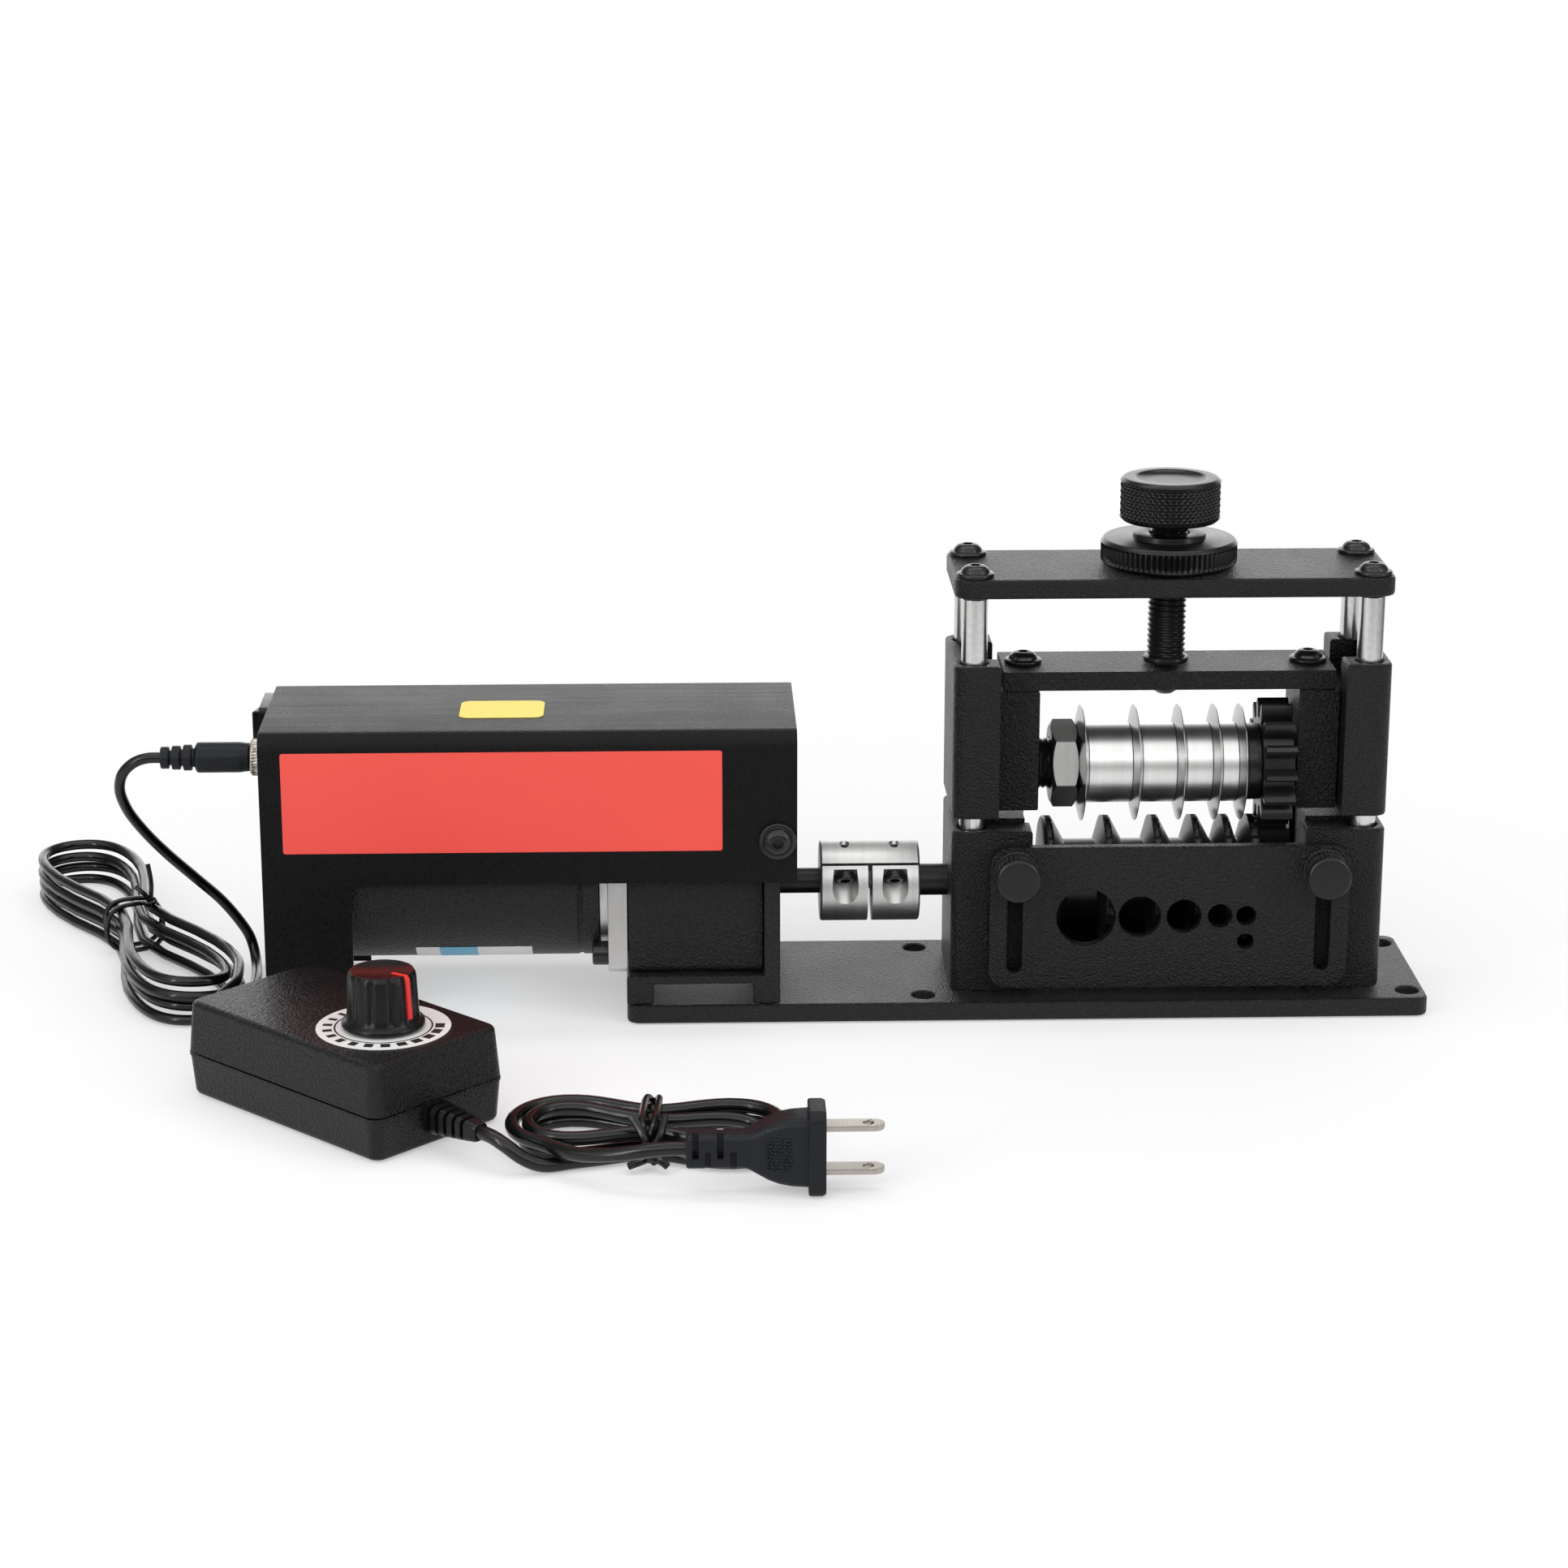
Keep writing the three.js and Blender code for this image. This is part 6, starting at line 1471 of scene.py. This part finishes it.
stations = [
    (0, 7.4, 9.4, 2.0), (0.5, 8, 10, 2.0), (16, 8, 10, 2.0), (17.5, 8.6, 11.0, 2.2),
    (19.5, 9.6, 13.2, 2.4), (22.5, 10.9, 16.4, 2.6), (25.5, 11.9, 18.6, 2.8), (29, 12.5, 19.8, 2.8),
    (33.4, 12.9, 20.3, 2.8), (34.2, 12.9, 20.3, 2.8)]
slots = []
for start, width, low, high in (
    (1.7, 1.8, -1.7, 6), (5.2, 1.6, -6, 0.3), (8.5, 1.8, -1.7, 6), (12.1, 1.8, -6, 0.3),
):
    x = PLUG_X + start
    loop = rounded((PLUG_Z + low, x), (PLUG_Z + high, x + width), 0.3, 3)
    slots += [prism("y", loop, PLUG_Y - 6, PLUG_Y - 1.3), prism("y", loop, PLUG_Y + 1.3, PLUG_Y + 6)]
body_blank = solid_mesh("plug", lofted([plug_ring(*station) for station in stations]))
plug_body = dress("mains_plug_body", milled(body_blank, slots), plug_plastic, "frame",
                  ["mains_plug"], 35, False)
break_edges(plug_body, 0.2)
flange = [(33.6, 14.2, 24.2, 2.6), (34.0, 15, 25, 3), (37.4, 15, 25, 3), (38.4, 14.0, 24.0, 2.6)]
plug_flange = make_piece("mains_plug_flange", lofted([plug_ring(*station) for station in flange]),
                         plug_plastic, "frame")

PRONG_HALF = 6.35 / 2  # half of a prong's width; the two stand 12.7 mm apart
for side, level in ((-1, "lower"), (1, "upper")):
    z, root = PLUG_Z + side * 6.35, PLUG_X + 36
    tip = PLUG_X + 38.4 + 16.3
    end = tip - PRONG_HALF
    outline = [(root, PLUG_Y - PRONG_HALF), (end, PLUG_Y - PRONG_HALF)]
    outline += arc((end, PLUG_Y), PRONG_HALF, -90, 90, 16)[1:] + [(root, PLUG_Y + PRONG_HALF)]
    prong = plate(outline, [circle((tip - 4.5, PLUG_Y), 1.5, 32)], z - 0.75, z + 0.75, 0.2, 2)
    make_piece("mains_prong_" + level, prong, nickel, "frame")

# %% Set the pebbles
tree, given = start_tree("pebbles", {"Radius": "Float", "Finish": "Material"})
points = tree.node("GeometryNodeMeshToPoints", values={"Mesh": given["Geometry"]})
dome = tree.node("GeometryNodeMeshIcoSphere", values={"Radius": given["Radius"], "Subdivisions": 2})
size = tree.node(attribute, {"data_type": "FLOAT_VECTOR"}, {"Name": "size"})
copies = tree.node("GeometryNodeInstanceOnPoints", values={
    "Points": points, "Instance": dome, "Scale": size})
pebble_tree = end_tree(tree, copies, given["Finish"])
spots, sizes = [], []
for i in range(80):
    row, column = divmod(i, 8)
    along = 22.2 + (column + 0.5 * (row % 2)) * 0.84 + 0.14 * math.sin(i * 2.3)
    half = 5.45 + (along - 22.5) * 0.125  # half the body's width there
    height = PLUG_Z - 4.5 + row + 0.12 * math.sin(i * 3.7)
    spots.append((PLUG_X + along, PLUG_Y - half - 0.1, height))
    sizes += [0.95 + 0.2 * math.sin(i * 1.7), 0.8, 1.05 + 0.2 * math.sin(i * 2.9)]
patch_mesh = bpy.data.meshes.new("patch")
patch_mesh.from_pydata(spots, [], [])
patch_mesh.attributes.new("size", "FLOAT_VECTOR", "POINT").data.foreach_set("vector", sizes)
pebbles = grown(new_object("carrier", patch_mesh), pebble_tree, Radius=0.52, Finish=plug_plastic)
pebbles.transform(Matrix.Scale(MM, 4))
grip = dress("mains_plug_grip", pebbles, plug_plastic, "frame", weighted=False, sharp=80)
print("pebbles:", len(pebbles.vertices) // 42)

# %% [markdown]
#
# The length of each cord's line is worked out, and its points are brought to metres. The machine's
# cord ends in the adapter's relief; the mains cord ends in its plug.

line_length(machine_line) * MM
[point * MM for point in machine_line]
line_length(mains_line) * MM
[point * MM for point in mains_line]

# %% [markdown]
# ## Floor, light and air
#
# The product stands on a sheet of white paper under soft lights. The paper turns to pure white
# away from the machine, for the camera and for reflections, so that its edge doesn't show, and
# near the machine it keeps the soft shadow. The camera sees a white world, and the metal and the
# black paint see a studio that is brightest behind the machine and above it.

# %% Light the scene
floor_mesh = bpy.data.meshes.new("floor")
paper_corners = [(-0.66, -0.62), (0.46, -0.62), (0.46, 0.9), (-0.66, 0.9)]
floor_mesh.from_pydata([(x, y, -0.0004) for x, y in paper_corners], [], [(0, 1, 2, 3)])
paper = Finish("paper", {
    "Base Color": colour(0.89, 0.89, 0.895), "Roughness": 0.9, "Specular IOR Level": 0.1})
camera_ray = paper.node("ShaderNodeLightPath", output="Is Camera Ray")
reflected = paper.sum(
    "MAXIMUM", camera_ray.also("Is Glossy Ray"), camera_ray.also("Is Transmission Ray"))
seen = paper.sum("MAXIMUM", camera_ray, reflected)
centred = paper.node("ShaderNodeVectorMath", {"operation": "ADD"}, {
    0: paper.place, 1: (0.1, 0.02, 0)})
distance = paper.node("ShaderNodeVectorMath", {"operation": "LENGTH"}, {0: centred}, "Value")
away = paper.between(distance, 0.16, 0.46)
white = paper.node("ShaderNodeEmission", values={"Color": colour(1, 1, 1), "Strength": 1.0})
mixed = paper.node("ShaderNodeMixShader", values={
    0: seen * (away * 0.6 + 0.4), 1: Value(paper, paper.shader.outputs[0]), 2: white})
paper.data.links.new(mixed.socket, paper.data.nodes["Material Output"].inputs["Surface"])
floor_mesh.materials.append(paper.material)
new_object("floor", floor_mesh)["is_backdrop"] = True

world = bpy.data.worlds.new("studio")
bpy.context.scene.world = world
world.use_nodes = True
sky = Tree(world.node_tree)
camera_ray = sky.node("ShaderNodeLightPath", output="Is Camera Ray")
seen = sky.sum("MAXIMUM", camera_ray, camera_ray.also("Is Transmission Ray"))
aside, ahead, up = sky.parts(sky.node("ShaderNodeTexCoord", output="Generated"))
behind = sky.between(ahead, 0.7, 0.9) * (1 - sky.between(up, 0.3, 0.6))
sides = sky.between(abs(aside), 0.55, 0.85) * (1 - sky.between(ahead, -0.1, 0.3))
front_top = sky.between(0 - ahead, -0.1, 0.3) * sky.between(up, 0.12, 0.4)
above = sky.between(up, 0.6, 0.9)
studio = 0.2 + behind * 1.9 + sides * 0.3 + front_top * 0.8 + above * 0.5
strength = studio * (1 - seen) + seen
background = world.node_tree.nodes["Background"]
background.inputs["Color"].default_value = colour(1, 1, 1)
world.node_tree.links.new(strength.socket, background.inputs["Strength"])


def softbox(name, place, target, size, power):
    """A rectangular lamp that looks at a target; size in metres, power in watts."""
    data = bpy.data.lights.new(name, "AREA")
    data.shape, data.size, data.size_y, data.energy = "RECTANGLE", size[0], size[1], power
    lamp = new_object(name, data)
    lamp.location = place
    lamp.rotation_euler = (Vector(target) - Vector(place)).to_track_quat("-Z", "Y").to_euler()


softbox("overhead", (-0.1, 0.1, 1.1), (-0.1, 0, 0), (1.3, 0.14), 2.6)
softbox("front", (-0.1, -1.05, 0.66), (-0.1, 0, 0.06), (1.6, 0.2), 2.0)
softbox("left", (-0.85, -0.75, 0.4), (-0.1, 0, 0.05), (0.14, 0.8), 2.7)
softbox("right", (0.9, -0.6, 0.4), (0, 0, 0.08), (0.14, 0.8), 1.8)
print("four soft lights")

# %% Measure the visual box
low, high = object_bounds()
print("visual box", [round(v, 4) for v in (*low, *high)])
